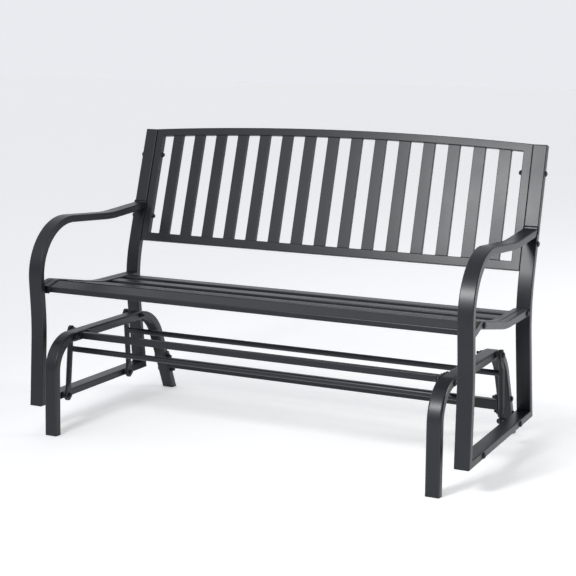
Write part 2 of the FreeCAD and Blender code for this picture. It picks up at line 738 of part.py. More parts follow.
def link(length):
    """Swing link hanging from the origin: round tube with two pressed eyes."""
    flat_end = link_eye_tip - link_eye_flat
    round_end = flat_end - link_taper
    tube_radius = link_tube_diameter / 2
    tip_radius = link_eye_width / 2
    tip_centre = link_eye_tip - tip_radius
    flat = Part.Face(eye_outline()).extrude(V(0, 0, link_eye_flat))
    flat.translate(V(0, 0, flat_end))
    tip_start = V(-tube_radius, 0, tip_centre)
    tip = Part.makeCylinder(tip_radius, link_tube_diameter, tip_start, V(1, 0, 0))
    block = Part.makeBox(link_tube_diameter, link_eye_width, link_eye_flat)
    block.translate(V(-tube_radius, -tip_radius, tip_centre - link_eye_flat))
    flat = flat.common(tip.fuse(block))
    wide = eye_outline()
    wide.translate(V(0, 0, flat_end))
    narrow = round_outline()
    narrow.translate(V(0, 0, round_end))
    taper = Part.makeLoft([wide, narrow], True, True)
    upper = flat.fuse(taper)
    lower = upper.mirror(V(0, 0, -length / 2), V(0, 0, 1))
    tube_length = length + 2 * round_end
    tube_start = V(0, 0, -length - round_end)
    outer = Part.makeCylinder(tube_radius, tube_length, tube_start)
    bore = Part.makeCylinder(tube_radius - tube_wall, tube_length, tube_start)
    whole = outer.cut(bore).fuse(upper).fuse(lower)
    for z in (0, -length):
        whole = whole.cut(rod(-link_eye_thickness, link_eye_thickness, 0, z, bush_diameter))
    return whole


def bush(bore, flange):
    """Flanged bush for a link eye: the flange lies on the XY plane, above it."""
    tail = V(0, 0, -link_eye_thickness)
    body = Part.makeCylinder(bush_diameter / 2, link_eye_thickness, tail)
    body = body.fuse(Part.makeCylinder(flange_diameter / 2, flange))
    return body.cut(Part.makeCylinder(bore / 2, flange + link_eye_thickness, tail))


# The two swing frames: a pair of links, a cross tube and four bushes each
eye_inner_x = link_x - link_eye_thickness / 2
eye_outer_x = link_x + link_eye_thickness / 2
running_bore = bolt_diameter + 2 * running_clearance
open_bore = bolt_diameter + 2 * open_pivot_clearance
swings = (
    ("front", front_top_pivot_y, front_low_pivot_y, running_bore),
    ("rear", rear_top_pivot_y, rear_low_pivot_y, open_bore),
)
for name, top_y, low_y, low_bore in swings:
    length = math.hypot(low_y - top_y, low_pivot_z - top_pivot_z)
    run = unit(top_y - low_y, top_pivot_z - low_pivot_z)
    piece = turned(link(length), run, V(link_x, top_y, top_pivot_z))
    both_sides(name + "_link", piece)
    axis_start = V(link_x, top_y, top_pivot_z) - run * length
    link_envelope = Part.makeCylinder(link_tube_diameter / 2, length, axis_start, run)
    bar_at = V(0, top_y, top_pivot_z) - run * swing_bar_drop
    outer = rod(-link_x, link_x, bar_at.y, bar_at.z, swing_bar_diameter)
    bore = rod(-link_x, link_x, bar_at.y, bar_at.z, swing_bar_diameter - 2 * tube_wall)
    bar = outer.cut(bore).cut(link_envelope).cut(mirrored(link_envelope))
    bar = max(bar.Solids, key=lambda solid: solid.Volume)
    write(name + "_swing_bar", bar)
    top_flange = eye_inner_x - stand_outer_x - face_gap
    low_flange = side_inner_x - face_gap - eye_outer_x
    top_bush = along_x(bush(running_bore, top_flange), eye_inner_x, top_y, top_pivot_z, -1)
    low_bush = along_x(bush(low_bore, low_flange), eye_outer_x, low_y, low_pivot_z, 1)
    bushes = [top_bush, low_bush, mirrored(top_bush), mirrored(low_bush)]
    write(name + "_swing_bushes", Part.makeCompound(bushes))

# Fasteners of the stand
pivot_head_x = eye_outer_x + face_gap
pivot_bolt = bolt(pivot_head_x - plate_x + nut_height + stand_thread_end)
plate_bolt = bolt(stand_outer_x - plate_x + nut_height + stand_thread_end)
pieces = []
for y, z in pivot_holes:
    pieces.append(along_x(pivot_bolt, pivot_head_x, y, z, 1))
write("upper_pivot_bolts", Part.makeCompound(pieces + [mirrored(p) for p in pieces]))
pieces = [along_x(plate_bolt, stand_outer_x, y, z, 1) for y, z in crossbar_bolts_at]
write("crossbar_bolts", Part.makeCompound(pieces + [mirrored(p) for p in pieces]))
pieces = [along_x(nut(), stand_inner_x, rear_top_pivot_y, top_pivot_z, -1)]
for y, z in crossbar_bolts_at + pivot_holes[:1]:
    pieces.append(along_x(nut(), plate_x, y, z, -1))
write("stand_nuts", Part.makeCompound(pieces + [mirrored(p) for p in pieces]))

# Fasteners of the bench
low_nut_x = eye_inner_x - face_gap
grip = cap_nut_height - cap_nut_roof
low_bolt = bolt(bench_width / 2 - low_nut_x + grip)
back_bolt = bolt(bench_width / 2 - stile_inner_x + grip)
seat_bolt = bolt(rail_outer_x - end_bar_outer_x + seat_bolt_reach)
pieces = [along_x(low_bolt, bench_width / 2, y, low_pivot_z, 1) for y in low_pivots]
write("lower_pivot_bolts", Part.makeCompound(pieces + [mirrored(p) for p in pieces]))
pieces = [along_x(back_bolt, bench_width / 2, on_post(z).y, z, 1) for z in back_bolt_z]
write("back_bolts", Part.makeCompound(pieces + [mirrored(p) for p in pieces]))
pieces = [along_x(seat_bolt, rail_outer_x, y, z, 1) for y, z in seat_bolt_points]
write("seat_bolts", Part.makeCompound(pieces + [mirrored(p) for p in pieces]))
pieces = [along_x(cap_nut(), low_nut_x, y, low_pivot_z, -1) for y in low_pivots]
for z in back_bolt_z:
    pieces.append(along_x(cap_nut(), stile_inner_x, on_post(z).y, z, -1))
write("bench_cap_nuts", Part.makeCompound(pieces + [mirrored(p) for p in pieces]))
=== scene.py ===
import math

import bmesh
import bpy
from mathutils import Matrix, Vector


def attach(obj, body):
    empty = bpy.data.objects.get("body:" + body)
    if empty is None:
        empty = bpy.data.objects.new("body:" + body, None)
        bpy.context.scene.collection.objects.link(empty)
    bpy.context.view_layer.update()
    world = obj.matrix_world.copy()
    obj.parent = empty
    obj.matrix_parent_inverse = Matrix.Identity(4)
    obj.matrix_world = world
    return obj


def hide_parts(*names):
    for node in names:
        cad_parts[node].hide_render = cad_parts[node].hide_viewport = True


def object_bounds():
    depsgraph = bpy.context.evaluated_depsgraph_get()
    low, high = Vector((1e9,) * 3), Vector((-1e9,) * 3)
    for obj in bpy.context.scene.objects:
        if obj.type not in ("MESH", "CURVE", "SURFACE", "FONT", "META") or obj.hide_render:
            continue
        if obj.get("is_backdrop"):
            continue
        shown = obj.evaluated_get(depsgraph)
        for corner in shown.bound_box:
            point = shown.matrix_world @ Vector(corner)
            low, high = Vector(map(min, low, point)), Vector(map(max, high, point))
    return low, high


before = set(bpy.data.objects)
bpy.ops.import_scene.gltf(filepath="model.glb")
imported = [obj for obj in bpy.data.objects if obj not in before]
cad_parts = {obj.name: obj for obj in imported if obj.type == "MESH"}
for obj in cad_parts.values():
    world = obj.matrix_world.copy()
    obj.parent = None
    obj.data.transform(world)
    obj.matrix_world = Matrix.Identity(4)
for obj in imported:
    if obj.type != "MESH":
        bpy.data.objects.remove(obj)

cad_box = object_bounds()
scene = bpy.context.scene

# ------------------------------------------------------------------ the studio
# A pale floor in a white room, with a small gridded key high in front and a
# tall soft light behind on the right. The camera stands off to the right with a
# long lens, 0.2 m above the top of the back.

camera_place = Vector((1.581, -3.260, 1.044))
camera_turn = math.radians(25.84)
camera_pitch = math.radians(6.2)
camera_roll = math.radians(-0.647)
focal_pixels = 1340.0
frame_pixels = 576.0
axis_row = 199.62
axis_column = 287.26


def paint(hex_code):
    """Linear RGBA of an sRGB hex colour."""
    channels = [int(hex_code[i:i + 2], 16) / 255 for i in (0, 2, 4)]
    linear = [c / 12.92 if c <= 0.04045 else ((c + 0.055) / 1.055) ** 2.4 for c in channels]
    return (*linear, 1.0)


def add(tree, kind, inputs=None, **settings):
    """Add a node: settings are its own, inputs are values or links by socket."""
    node = tree.nodes.new(kind)
    for key, value in settings.items():
        setattr(node, key, value)
    for key, value in (inputs or {}).items():
        if isinstance(value, bpy.types.NodeSocket):
            tree.links.new(value, node.inputs[key])
        else:
            node.inputs[key].default_value = value
    return node


def place(item, name):
    """Put a mesh, a light or a camera into the scene as an object."""
    placed = bpy.data.objects.new(name, item)
    scene.collection.objects.link(placed)
    return placed


backward = Vector((
    math.sin(camera_turn) * math.cos(camera_pitch),
    -math.cos(camera_turn) * math.cos(camera_pitch),
    math.sin(camera_pitch),
))
level_right = Vector((math.cos(camera_turn), math.sin(camera_turn), 0))
level_up = backward.cross(level_right)
camera_right = level_right * math.cos(camera_roll) - level_up * math.sin(camera_roll)
camera_up = level_right * math.sin(camera_roll) + level_up * math.cos(camera_roll)
camera = place(bpy.data.cameras.new("camera"), "camera")
camera_frame = Matrix((camera_right, camera_up, backward)).transposed().to_4x4()
camera_frame.translation = camera_place
camera.matrix_world = camera_frame
camera.data.lens = focal_pixels / frame_pixels * camera.data.sensor_width
camera.data.shift_x = (frame_pixels / 2 - axis_column) / frame_pixels
camera.data.shift_y = (axis_row - frame_pixels / 2) / frame_pixels
scene.camera = camera
scene.view_settings.view_transform = "Standard"

# The floor is matt white acrylic, lit from below. Its own glow is about a third
# of its brightness: it keeps the floor pale and lights the frame from beneath.
floor_reach = 40.0
floor_mesh = bpy.data.meshes.new("floor")
floor_mesh.from_pydata(
    [(x * floor_reach, y * floor_reach, 0) for x, y in ((-1, -1), (1, -1), (1, 1), (-1, 1))],
    [],
    [(0, 1, 2, 3)],
)
floor = place(floor_mesh, "floor")
floor_paint = bpy.data.materials.new("lit_white_acrylic_floor")
floor_paint.use_nodes = True
floor_shader = floor_paint.node_tree.nodes["Principled BSDF"]
floor_shader.inputs["Base Color"].default_value = paint("f2f2f2")
floor_shader.inputs["Roughness"].default_value = 0.85
floor_shader.inputs["Specular IOR Level"].default_value = 0.1
floor_shader.inputs["Emission Color"].default_value = paint("ffffff")
floor_shader.inputs["Emission Strength"].default_value = 0.31
floor_mesh.materials.append(floor_paint)
floor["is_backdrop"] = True

# The room is white behind the bench and a quarter as bright at its right. In
# front it is dark near the floor and brightens upward like a tall window, so
# that faces turned to the camera stay dark. Overhead it is a quarter dimmer.
sky = bpy.data.worlds.new("white_room")
scene.world = sky
sky.use_nodes = True
room = sky.node_tree
direction = add(room, "ShaderNodeSeparateXYZ", {0: add(room, "ShaderNodeTexCoord").outputs["Generated"]})
window = add(room, "ShaderNodeMapRange", {
    "Value": direction.outputs["Z"], "From Min": -0.02, "From Max": 0.4,
    "To Min": 0.10, "To Max": 1.15,
}, interpolation_type="SMOOTHSTEP")
backward_share = add(room, "ShaderNodeMapRange", {
    "Value": direction.outputs["Y"], "From Min": -0.5, "From Max": 0.5,
}, interpolation_type="SMOOTHSTEP")
around = add(room, "ShaderNodeMix", {
    0: backward_share.outputs["Result"], 2: window.outputs["Result"], 3: 0.87,
}, data_type="FLOAT")
overhead = add(room, "ShaderNodeMapRange", {
    "Value": direction.outputs["Z"], "From Min": 0.5, "From Max": 0.95,
    "To Min": 1.0, "To Max": 0.75,
}, interpolation_type="SMOOTHSTEP")
right_wall = add(room, "ShaderNodeMapRange", {
    "Value": direction.outputs["X"], "From Min": -0.02, "From Max": 0.26,
    "To Min": 1.0, "To Max": 0.25,
}, interpolation_type="SMOOTHSTEP")
dimmed = add(room, "ShaderNodeMath", {
    0: overhead.outputs["Result"], 1: right_wall.outputs["Result"],
}, operation="MULTIPLY")
strength = add(room, "ShaderNodeMath", {
    0: around.outputs[0], 1: dimmed.outputs[0],
}, operation="MULTIPLY")
room_light = room.nodes["Background"]
room_light.inputs["Color"].default_value = paint("f8faff")
room.links.new(strength.outputs[0], room_light.inputs["Strength"])


def soft_light(name, spot, aim, width, height, power, spread=180.0):
    """A rectangular soft light at a spot, aimed at a point, in metres and watts.
    A grid on its front narrows the spread, in degrees."""
    lamp = bpy.data.lights.new(name, "AREA")
    lamp.shape = "RECTANGLE"
    lamp.size = width
    lamp.size_y = height
    lamp.energy = power
    lamp.spread = math.radians(spread)
    holder = place(lamp, name)
    holder.location = spot
    holder.rotation_euler = (Vector(aim) - Vector(spot)).to_track_quat("-Z", "Y").to_euler()
    holder.visible_camera = False
    return holder


soft_light("gridded_key", (-0.4, -2.9, 2.3), (0.5, -0.2, 0.4), width=0.7, height=0.7, power=9.5, spread=60.0)
soft_light("tall_right", (4.2, 2.4, 1.4), (0.2, 0, 0.4), width=1.6, height=2.6, power=120)

# ------------------------------------------------- bench side frames, each side
# Each side is three pieces of 40 by 20 mm steel tube: a leg that bends over
# into the arm, a post that carries the back, and a rail along the bottom.
# They are mitred and welded at the corners, ground flush and powder coated.

mm = 0.001
X, Y, Z = Vector((1, 0, 0)), Vector((0, 1, 0)), Vector((0, 0, 1))


def powder_coat(name, dark, light, roughness):
    """Black polyester powder coat, baked on steel: a satin skin with the fine
    ripple of orange peel, cloudy by a few percent, and thin and shinier where
    the powder draws back from an edge. Those edges are also painted lighter,
    as a painted highlight."""
    coat = bpy.data.materials.new(name)
    coat.use_nodes = True
    tree = coat.node_tree
    shader = tree.nodes["Principled BSDF"]
    at = add(tree, "ShaderNodeTexCoord").outputs["Object"]
    # Thickness of the coat drifts over about 150 mm.
    cloud = add(tree, "ShaderNodeTexNoise", {"Vector": at, "Scale": 7.0, "Detail": 3.0})
    # Grains of powder are 0.1 mm at most; these are drawn at 1.4 mm to show.
    grain = add(tree, "ShaderNodeTexNoise", {"Vector": at, "Scale": 700.0, "Detail": 2.0})
    # Orange peel, 2 to 3 mm from crest to crest.
    peel = add(tree, "ShaderNodeTexNoise", {"Vector": at, "Scale": 400.0, "Detail": 1.0})
    edge = add(tree, "ShaderNodeAttribute", attribute_name="thin_coat")
    mottle = add(tree, "ShaderNodeMath", {0: cloud.outputs["Fac"], 1: grain.outputs["Fac"]}, operation="ADD")
    shade = add(tree, "ShaderNodeMapRange", {"Value": mottle.outputs[0], "From Min": 0.7, "From Max": 1.3})
    skin = add(tree, "ShaderNodeMix", {
        0: shade.outputs["Result"], 6: paint(dark), 7: paint(light),
    }, data_type="RGBA")
    # Painted highlight: the tube corners are painted lighter, towards grey.
    rim = add(tree, "ShaderNodeMath", {0: edge.outputs["Fac"], 1: 0.35}, operation="MULTIPLY")
    colour = add(tree, "ShaderNodeMix", {
        0: rim.outputs[0], 6: skin.outputs[2], 7: paint("4a4c50"),
    }, data_type="RGBA")
    tree.links.new(colour.outputs[2], shader.inputs["Base Color"])
    rough = add(tree, "ShaderNodeMapRange", {
        "Value": mottle.outputs[0], "From Min": 0.6, "From Max": 1.4,
        "To Min": roughness - 0.05, "To Max": roughness + 0.06,
    })
    shine = add(tree, "ShaderNodeMath", {0: edge.outputs["Fac"], 1: -0.08, 2: rough.outputs["Result"]},
                operation="MULTIPLY_ADD")
    tree.links.new(shine.outputs[0], shader.inputs["Roughness"])
    ripple = add(tree, "ShaderNodeBump", {
        "Height": peel.outputs["Fac"], "Strength": 0.25, "Distance": 0.00025,
    })
    tree.links.new(ripple.outputs["Normal"], shader.inputs["Normal"])
    # Polyester is typically 1.5; this is lower, to match the object's tones.
    shader.inputs["IOR"].default_value = 1.42
    shader.inputs["Coat Weight"].default_value = 0.05
    shader.inputs["Coat Roughness"].default_value = 0.25
    return coat


frame_coat = powder_coat("polyester_powder_coat_black", "12151a", "1b1f26", 0.37)


def new_tree(name, sockets):
    """A geometry tree with named inputs, and its input node."""
    tree = bpy.data.node_groups.new(name, "GeometryNodeTree")
    for label, kind in (("Geometry", "Geometry"), *sockets):
        tree.interface.new_socket(label, in_out="INPUT", socket_type="NodeSocket" + kind)
    tree.interface.new_socket("Geometry", in_out="OUTPUT", socket_type="NodeSocketGeometry")
    return tree, add(tree, "NodeGroupInput").outputs


def close_tree(tree, geometry, material):
    """End a tree: real geometry, with its material."""
    real = add(tree, "GeometryNodeRealizeInstances", {"Geometry": geometry})
    coated = add(tree, "GeometryNodeSetMaterial", {"Geometry": real.outputs[0], "Material": material})
    add(tree, "NodeGroupOutput", {"Geometry": coated.outputs[0]})


def grown(name, mesh, tree, sizes):
    """A plain mesh piece: the tree's result on a mesh, with these input sizes."""
    piece = place(mesh, name)
    growth = piece.modifiers.new("growth", "NODES")
    growth.node_group = tree
    for item in tree.interface.items_tree:
        if item.in_out == "INPUT" and item.name in sizes:
            growth[item.identifier] = sizes[item.name]
    depsgraph = bpy.context.evaluated_depsgraph_get()
    result = bpy.data.meshes.new_from_object(piece.evaluated_get(depsgraph), depsgraph=depsgraph)
    piece.modifiers.clear()
    piece.data = result
    return piece


# The section of a rolled tube: a rectangle with round corners. It marks the
# corners, where the powder coat is thin and shinier, and where the coat paints
# a lighter colour as an edge highlight.
section_tree = bpy.data.node_groups.new("tube section", "GeometryNodeTree")
for label in ("Width", "Depth", "Corner"):
    section_tree.interface.new_socket(label, in_out="INPUT", socket_type="NodeSocketFloat")
section_tree.interface.new_socket("Section", in_out="OUTPUT", socket_type="NodeSocketGeometry")
section_in = add(section_tree, "NodeGroupInput").outputs
sharp_section = add(section_tree, "GeometryNodeCurvePrimitiveQuadrilateral", {
    "Width": section_in["Width"], "Height": section_in["Depth"],
})
round_section = add(section_tree, "GeometryNodeFilletCurve", {
    "Curve": sharp_section.outputs[0], "Radius": section_in["Corner"], "Count": 5,
    "Limit Radius": True,
}, mode="POLY")
section_at = add(section_tree, "ShaderNodeSeparateXYZ", {
    0: add(section_tree, "GeometryNodeInputPosition").outputs[0],
})
past_flat = []
for socket, size in (("X", "Width"), ("Y", "Depth")):
    far = add(section_tree, "ShaderNodeMath", {0: section_at.outputs[socket]}, operation="ABSOLUTE")
    flat = add(section_tree, "ShaderNodeMath", {
        0: section_in[size], 1: 0.5, 2: section_in["Corner"],
    }, operation="MULTIPLY_ADD")
    less = add(section_tree, "ShaderNodeMath", {0: section_in["Corner"], 1: 2.0}, operation="MULTIPLY")
    start = add(section_tree, "ShaderNodeMath", {
        0: flat.outputs[0], 1: less.outputs[0],
    }, operation="SUBTRACT")
    past_flat.append(add(section_tree, "ShaderNodeMath", {
        0: far.outputs[0], 1: start.outputs[0],
    }, operation="SUBTRACT"))
into_corner = add(section_tree, "ShaderNodeMath", {
    0: past_flat[0].outputs[0], 1: past_flat[1].outputs[0],
}, operation="MINIMUM")
corner_share = add(section_tree, "ShaderNodeMath", {
    0: into_corner.outputs[0], 1: section_in["Corner"],
}, operation="DIVIDE", use_clamp=True)
marked = add(section_tree, "GeometryNodeStoreNamedAttribute", {
    "Geometry": round_section.outputs[0], "Name": "thin_coat", "Value": corner_share.outputs[0],
}, data_type="FLOAT", domain="POINT")
add(section_tree, "NodeGroupOutput", {"Section": marked.outputs[0]})

# A bent tube: a line of corners, each rounded to its own bend radius, with the
# section drawn along it. Side is the direction that the tube's width keeps to.
tube_tree, tube_in = new_tree("bent tube", (
    ("Width", "Float"), ("Depth", "Float"), ("Corner", "Float"), ("Side", "Vector"),
    ("Bend Points", "Int"), ("Material", "Material"),
))
tube_line = add(tube_tree, "GeometryNodeMeshToCurve", {"Mesh": tube_in["Geometry"]})
bend_radius = add(tube_tree, "GeometryNodeInputNamedAttribute", {"Name": "bend_radius"}, data_type="FLOAT")
bent_line = add(tube_tree, "GeometryNodeFilletCurve", {
    "Curve": tube_line.outputs[0], "Count": tube_in["Bend Points"], "Radius": bend_radius.outputs[0],
}, mode="POLY")
steady_line = add(tube_tree, "GeometryNodeSetCurveNormal", {
    "Curve": bent_line.outputs[0], "Normal": tube_in["Side"],
}, mode="FREE")
tube_section = add(tube_tree, "GeometryNodeGroup", node_tree=section_tree)
for label in ("Width", "Depth", "Corner"):
    tube_tree.links.new(tube_in[label], tube_section.inputs[label])
drawn_tube = add(tube_tree, "GeometryNodeCurveToMesh", {
    "Curve": steady_line.outputs[0], "Profile Curve": tube_section.outputs[0], "Fill Caps": True,
})
close_tree(tube_tree, drawn_tube.outputs[0], tube_in["Material"])


def tube(name, points, radii, size, side, material=frame_coat):
    """A tube along points in mm. Size is its width along side, depth and corner."""
    mesh = bpy.data.meshes.new(name)
    mesh.from_pydata([Vector(p) * mm for p in points], [(i, i + 1) for i in range(len(points) - 1)], [])
    bends = mesh.attributes.new("bend_radius", "FLOAT", "POINT")
    bends.data.foreach_set("value", [0.0] + [radius * mm for radius in radii] + [0.0])
    return grown(name, mesh, tube_tree, {
        "Width": size[0] * mm, "Depth": size[1] * mm, "Corner": size[2] * mm,
        "Side": side, "Bend Points": 28, "Material": material,
    })


def saw(piece, point, outward):
    """Saw a piece off at a plane through a point in mm, and close the cut."""
    shape = bmesh.new()
    shape.from_mesh(piece.data)
    cut = bmesh.ops.bisect_plane(
        shape, geom=shape.verts[:] + shape.edges[:] + shape.faces[:], dist=0.01 * mm,
        plane_co=Vector(point) * mm, plane_no=outward, clear_outer=True,
    )
    rim = [edge for edge in cut["geom_cut"] if isinstance(edge, bmesh.types.BMEdge)]
    bmesh.ops.edgeloop_fill(shape, edges=rim)
    shape.to_mesh(piece.data)
    shape.free()


def mirrored(piece, name):
    """The same piece for the other side of the bench."""
    shape = bmesh.new()
    shape.from_mesh(piece.data)
    bmesh.ops.scale(shape, vec=(-1, 1, 1), verts=shape.verts)
    twin = bpy.data.meshes.new(name)
    shape.to_mesh(twin)
    shape.free()
    twin.materials.append(piece.data.materials[0])
    return place(twin, name)


def settle(piece, body, slot, *nodes):
    """Finish a piece: faces outward, flats flat, bends smooth, cut edges crisp.
    Then it rides on its body and stands for its nodes."""
    shape = bmesh.new()
    shape.from_mesh(piece.data)
    bmesh.ops.remove_doubles(shape, verts=shape.verts, dist=0.01 * mm)
    bmesh.ops.recalc_face_normals(shape, faces=shape.faces)
    for face in shape.faces:
        face.smooth = True
    for edge in shape.edges:
        edge.smooth = edge.calc_face_angle(math.pi) < math.radians(40)
    shape.to_mesh(piece.data)
    shape.free()
    crisp = piece.modifiers.new("flats", "WEIGHTED_NORMAL")
    crisp.keep_sharp = True
    depsgraph = bpy.context.evaluated_depsgraph_get()
    result = bpy.data.meshes.new_from_object(piece.evaluated_get(depsgraph), depsgraph=depsgraph)
    piece.modifiers.clear()
    piece.data = result
    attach(piece, body)
    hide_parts(*nodes)
    return piece


def settle_pair(piece, part, node, body="bench", slot="powder_coated_steel"):
    """Settle a right hand piece and its mirror image."""
    settle(mirrored(piece, "left_" + part), body, slot, "left_" + node)
    settle(piece, body, slot, "right_" + node)


side_x = 615.0
side_size = (40.0, 20.0, 3.0)
leg_foot = Vector((side_x, -294.0, 70.0))
leg_knee = Vector((side_x, -284.6, 298.0))
arm_corner = Vector((side_x, -309.7, 585.5))
arm_dip = Vector((side_x, 52.0, 563.8))
arm_end = Vector((side_x, 260.0, 577.9))
post_knee = Vector((side_x, 186.0, 383.6))
post_foot = Vector((side_x, 232.4, 70.0))
post_lower_run = Vector((0, -0.148, 1)).normalized()
post_run = Vector((0, 0.305, 1)).normalized()
leg_run = (leg_knee - leg_foot).normalized()
half_depth = side_size[1] / 2
overrun = 20.0


def on_post(z):
    """Point on the centreline of the upper post at a height in mm."""
    return Vector((side_x, post_knee.y + 0.305 * (z - post_knee.z), z))


def corner_plane(foot, run, toward):
    """Mitre between an upright and the bottom rail, normal toward the rail."""
    half = half_depth / run.z
    outer = Vector((side_x, foot.y - toward * half, foot.z))
    inner = foot + run * (side_size[1] / run.z) + Vector((0, toward * half, 0))
    across = inner - outer
    return outer, Vector((0, toward * abs(across.z), -abs(across.y))).normalized()


front_corner = corner_plane(leg_foot, leg_run, 1)
rear_corner = corner_plane(post_foot, post_lower_run, -1)

leg_and_arm = tube(
    "right_leg_and_arm",
    [leg_foot - leg_run * overrun, leg_knee, arm_corner, arm_dip, arm_end],
    [800.0, 145.0, 500.0], side_size, X,
)
saw(leg_and_arm, front_corner[0], front_corner[1])
behind_arm = Vector((0, post_run.z, -post_run.y))
saw(leg_and_arm, on_post(arm_end.z) - behind_arm * half_depth, behind_arm)
settle_pair(leg_and_arm, "leg_and_arm", "front_leg_arm")

post_top_z = 802.0
back_post = tube(
    "right_back_post",
    [post_foot - post_lower_run * overrun, post_knee, on_post(post_top_z)],
    [400.0], side_size, X,
)
saw(back_post, rear_corner[0], rear_corner[1])
settle_pair(back_post, "back_post", "rear_post")

foot_rail_z = 80.0
foot_rail = tube(
    "right_foot_rail",
    [(side_x, leg_foot.y - overrun, foot_rail_z), (side_x, post_foot.y + overrun, foot_rail_z)],
    [], side_size, X,
)
saw(foot_rail, front_corner[0], -front_corner[1])
saw(foot_rail, rear_corner[0], -rear_corner[1])
settle_pair(foot_rail, "foot_rail", "bottom_rail")

# --------------------------------------------------- seat rails and end bars
# A 20 mm square rail joins the leg to the post on each side, bent to the curve
# of the seat. A second 20 mm bar with the same bends is bolted to its inner
# face and has the slats welded to it.

rail_x = 620.0
rail_size = (20.0, 20.0, 2.5)
rail_half = rail_size[1] / 2
seat_front_slope = 0.302
seat_crest = (-227.0, 416.0)
seat_level = (-8.0, 376.5)
seat_fall = (seat_level[1] - seat_crest[1]) / (seat_level[0] - seat_crest[0])


def seat_line(depth, x, front_y, rear_y):
    """Corners of a line that runs at a depth below the top of the seat."""
    front_drop = -depth * math.hypot(1, seat_front_slope)
    fall_drop = -depth * math.hypot(1, seat_fall)
    crest_y = seat_crest[0] + (fall_drop - front_drop) / (seat_front_slope - seat_fall)
    crest_z = seat_crest[1] + seat_front_slope * (crest_y - seat_crest[0]) + front_drop
    level_y = seat_level[0] + (-depth - fall_drop) / seat_fall
    level_z = seat_level[1] - depth
    front_z = crest_z - seat_front_slope * (crest_y - front_y)
    line = [(front_y, front_z), (crest_y, crest_z), (level_y, level_z), (rear_y, level_z)]
    return [(x, y, z) for y, z in line], [50.0 - depth, 430.0 + depth]


def seat_top(y):
    """Height of the top of the seat, with its bends taken as corners."""
    if y >= seat_level[0]:
        return seat_level[1]
    slope = seat_fall if y >= seat_crest[0] else seat_front_slope
    return seat_crest[1] + slope * (y - seat_crest[0])


rail_points, rail_radii = seat_line(rail_half, rail_x, front_y=-294.0, rear_y=190.0)
seat_rail = tube("right_seat_rail", rail_points, rail_radii, rail_size, X)
leg_upper_run = (arm_corner - leg_knee).normalized()
behind_leg = Vector((0, leg_upper_run.z, -leg_upper_run.y))
rail_start = leg_knee + leg_upper_run * (seat_crest[1] - leg_knee.z) + behind_leg * half_depth
saw(seat_rail, rail_start, -behind_leg)
settle_pair(seat_rail, "seat_side_rail", "seat_rail")

end_bar_x = 600.0
slat_end_x = 590.0
seat_front_y = -272.0
bar_points, bar_radii = seat_line(rail_half, end_bar_x, front_y=-292.0, rear_y=182.0)
end_bar = tube("right_slat_bar", bar_points, bar_radii, rail_size, X)
saw(end_bar, (end_bar_x, seat_front_y, seat_top(seat_front_y)), -Y)
settle_pair(end_bar, "slat_bar", "seat_end_bar")

# ------------------------------------------------------------------ seat slats
# Six slats of flat steel tube run the width of the seat. The front one slopes
# and has a plumb nose; the other five are 39 by 15 mm and 37 mm apart. They
# follow the curve of the end bars, half way down, and are welded to them.

slat_width, slat_gap, slat_thickness = 39.0, 37.0, 15.0
slat_drop = 2.5
front_slat_rear_y = -229.0

slat_tree, slat_in = new_tree("seat slats", (
    ("Slat Length", "Float"), ("Slat Width", "Float"), ("Slat Thickness", "Float"),
    ("Corner", "Float"), ("Material", "Material"),
))
slat_half = add(slat_tree, "ShaderNodeMath", {0: slat_in["Slat Length"], 1: 0.5}, operation="MULTIPLY")
slat_back = add(slat_tree, "ShaderNodeMath", {0: slat_half.outputs[0], 1: -1.0}, operation="MULTIPLY")
slat_line = add(slat_tree, "GeometryNodeCurvePrimitiveLine", {
    "Start": add(slat_tree, "ShaderNodeCombineXYZ", {"X": slat_back.outputs[0]}).outputs[0],
    "End": add(slat_tree, "ShaderNodeCombineXYZ", {"X": slat_half.outputs[0]}).outputs[0],
})
slat_steady = add(slat_tree, "GeometryNodeSetCurveNormal", {
    "Curve": slat_line.outputs[0], "Normal": Y,
}, mode="FREE")
slat_section = add(slat_tree, "GeometryNodeGroup", {
    "Width": slat_in["Slat Width"], "Depth": slat_in["Slat Thickness"], "Corner": slat_in["Corner"],
}, node_tree=section_tree)
one_slat = add(slat_tree, "GeometryNodeCurveToMesh", {
    "Curve": slat_steady.outputs[0], "Profile Curve": slat_section.outputs[0], "Fill Caps": True,
})
slat_tilt = add(slat_tree, "GeometryNodeInputNamedAttribute", {"Name": "tilt"}, data_type="FLOAT")
slat_turn = add(slat_tree, "ShaderNodeCombineXYZ", {"X": slat_tilt.outputs[0]})
laid_slats = add(slat_tree, "GeometryNodeInstanceOnPoints", {
    "Points": slat_in["Geometry"], "Instance": one_slat.outputs[0], "Rotation": slat_turn.outputs[0],
})
close_tree(slat_tree, laid_slats.outputs[0], slat_in["Material"])

slat_spots, slat_tilts = [], []
for number in range(5):
    front_y = front_slat_rear_y + slat_gap + number * (slat_width + slat_gap)
    rear_y = front_y + slat_width
    rise = seat_top(rear_y) - seat_top(front_y)
    below = Vector((0, -rise, slat_width)).normalized() * (-slat_thickness / 2)
    middle_top = (seat_top(front_y) + seat_top(rear_y)) / 2 - slat_drop
    middle = Vector((0, (front_y + rear_y) / 2, middle_top))
    slat_spots.append(middle + below)
    slat_tilts.append(math.atan2(rise, slat_width))
slat_mesh = bpy.data.meshes.new("seat_slat_spots")
slat_mesh.from_pydata([spot * mm for spot in slat_spots], [], [])
slat_mesh.attributes.new("tilt", "FLOAT", "POINT").data.foreach_set("value", slat_tilts)
seat_slats = grown("seat_slats", slat_mesh, slat_tree, {
    "Slat Length": 2 * slat_end_x * mm, "Slat Width": slat_width * mm,
    "Slat Thickness": slat_thickness * mm, "Corner": 2.5 * mm, "Material": frame_coat,
})
settle(seat_slats, "bench", "powder_coated_steel", *["seat_slat_%d" % n for n in range(2, 7)])

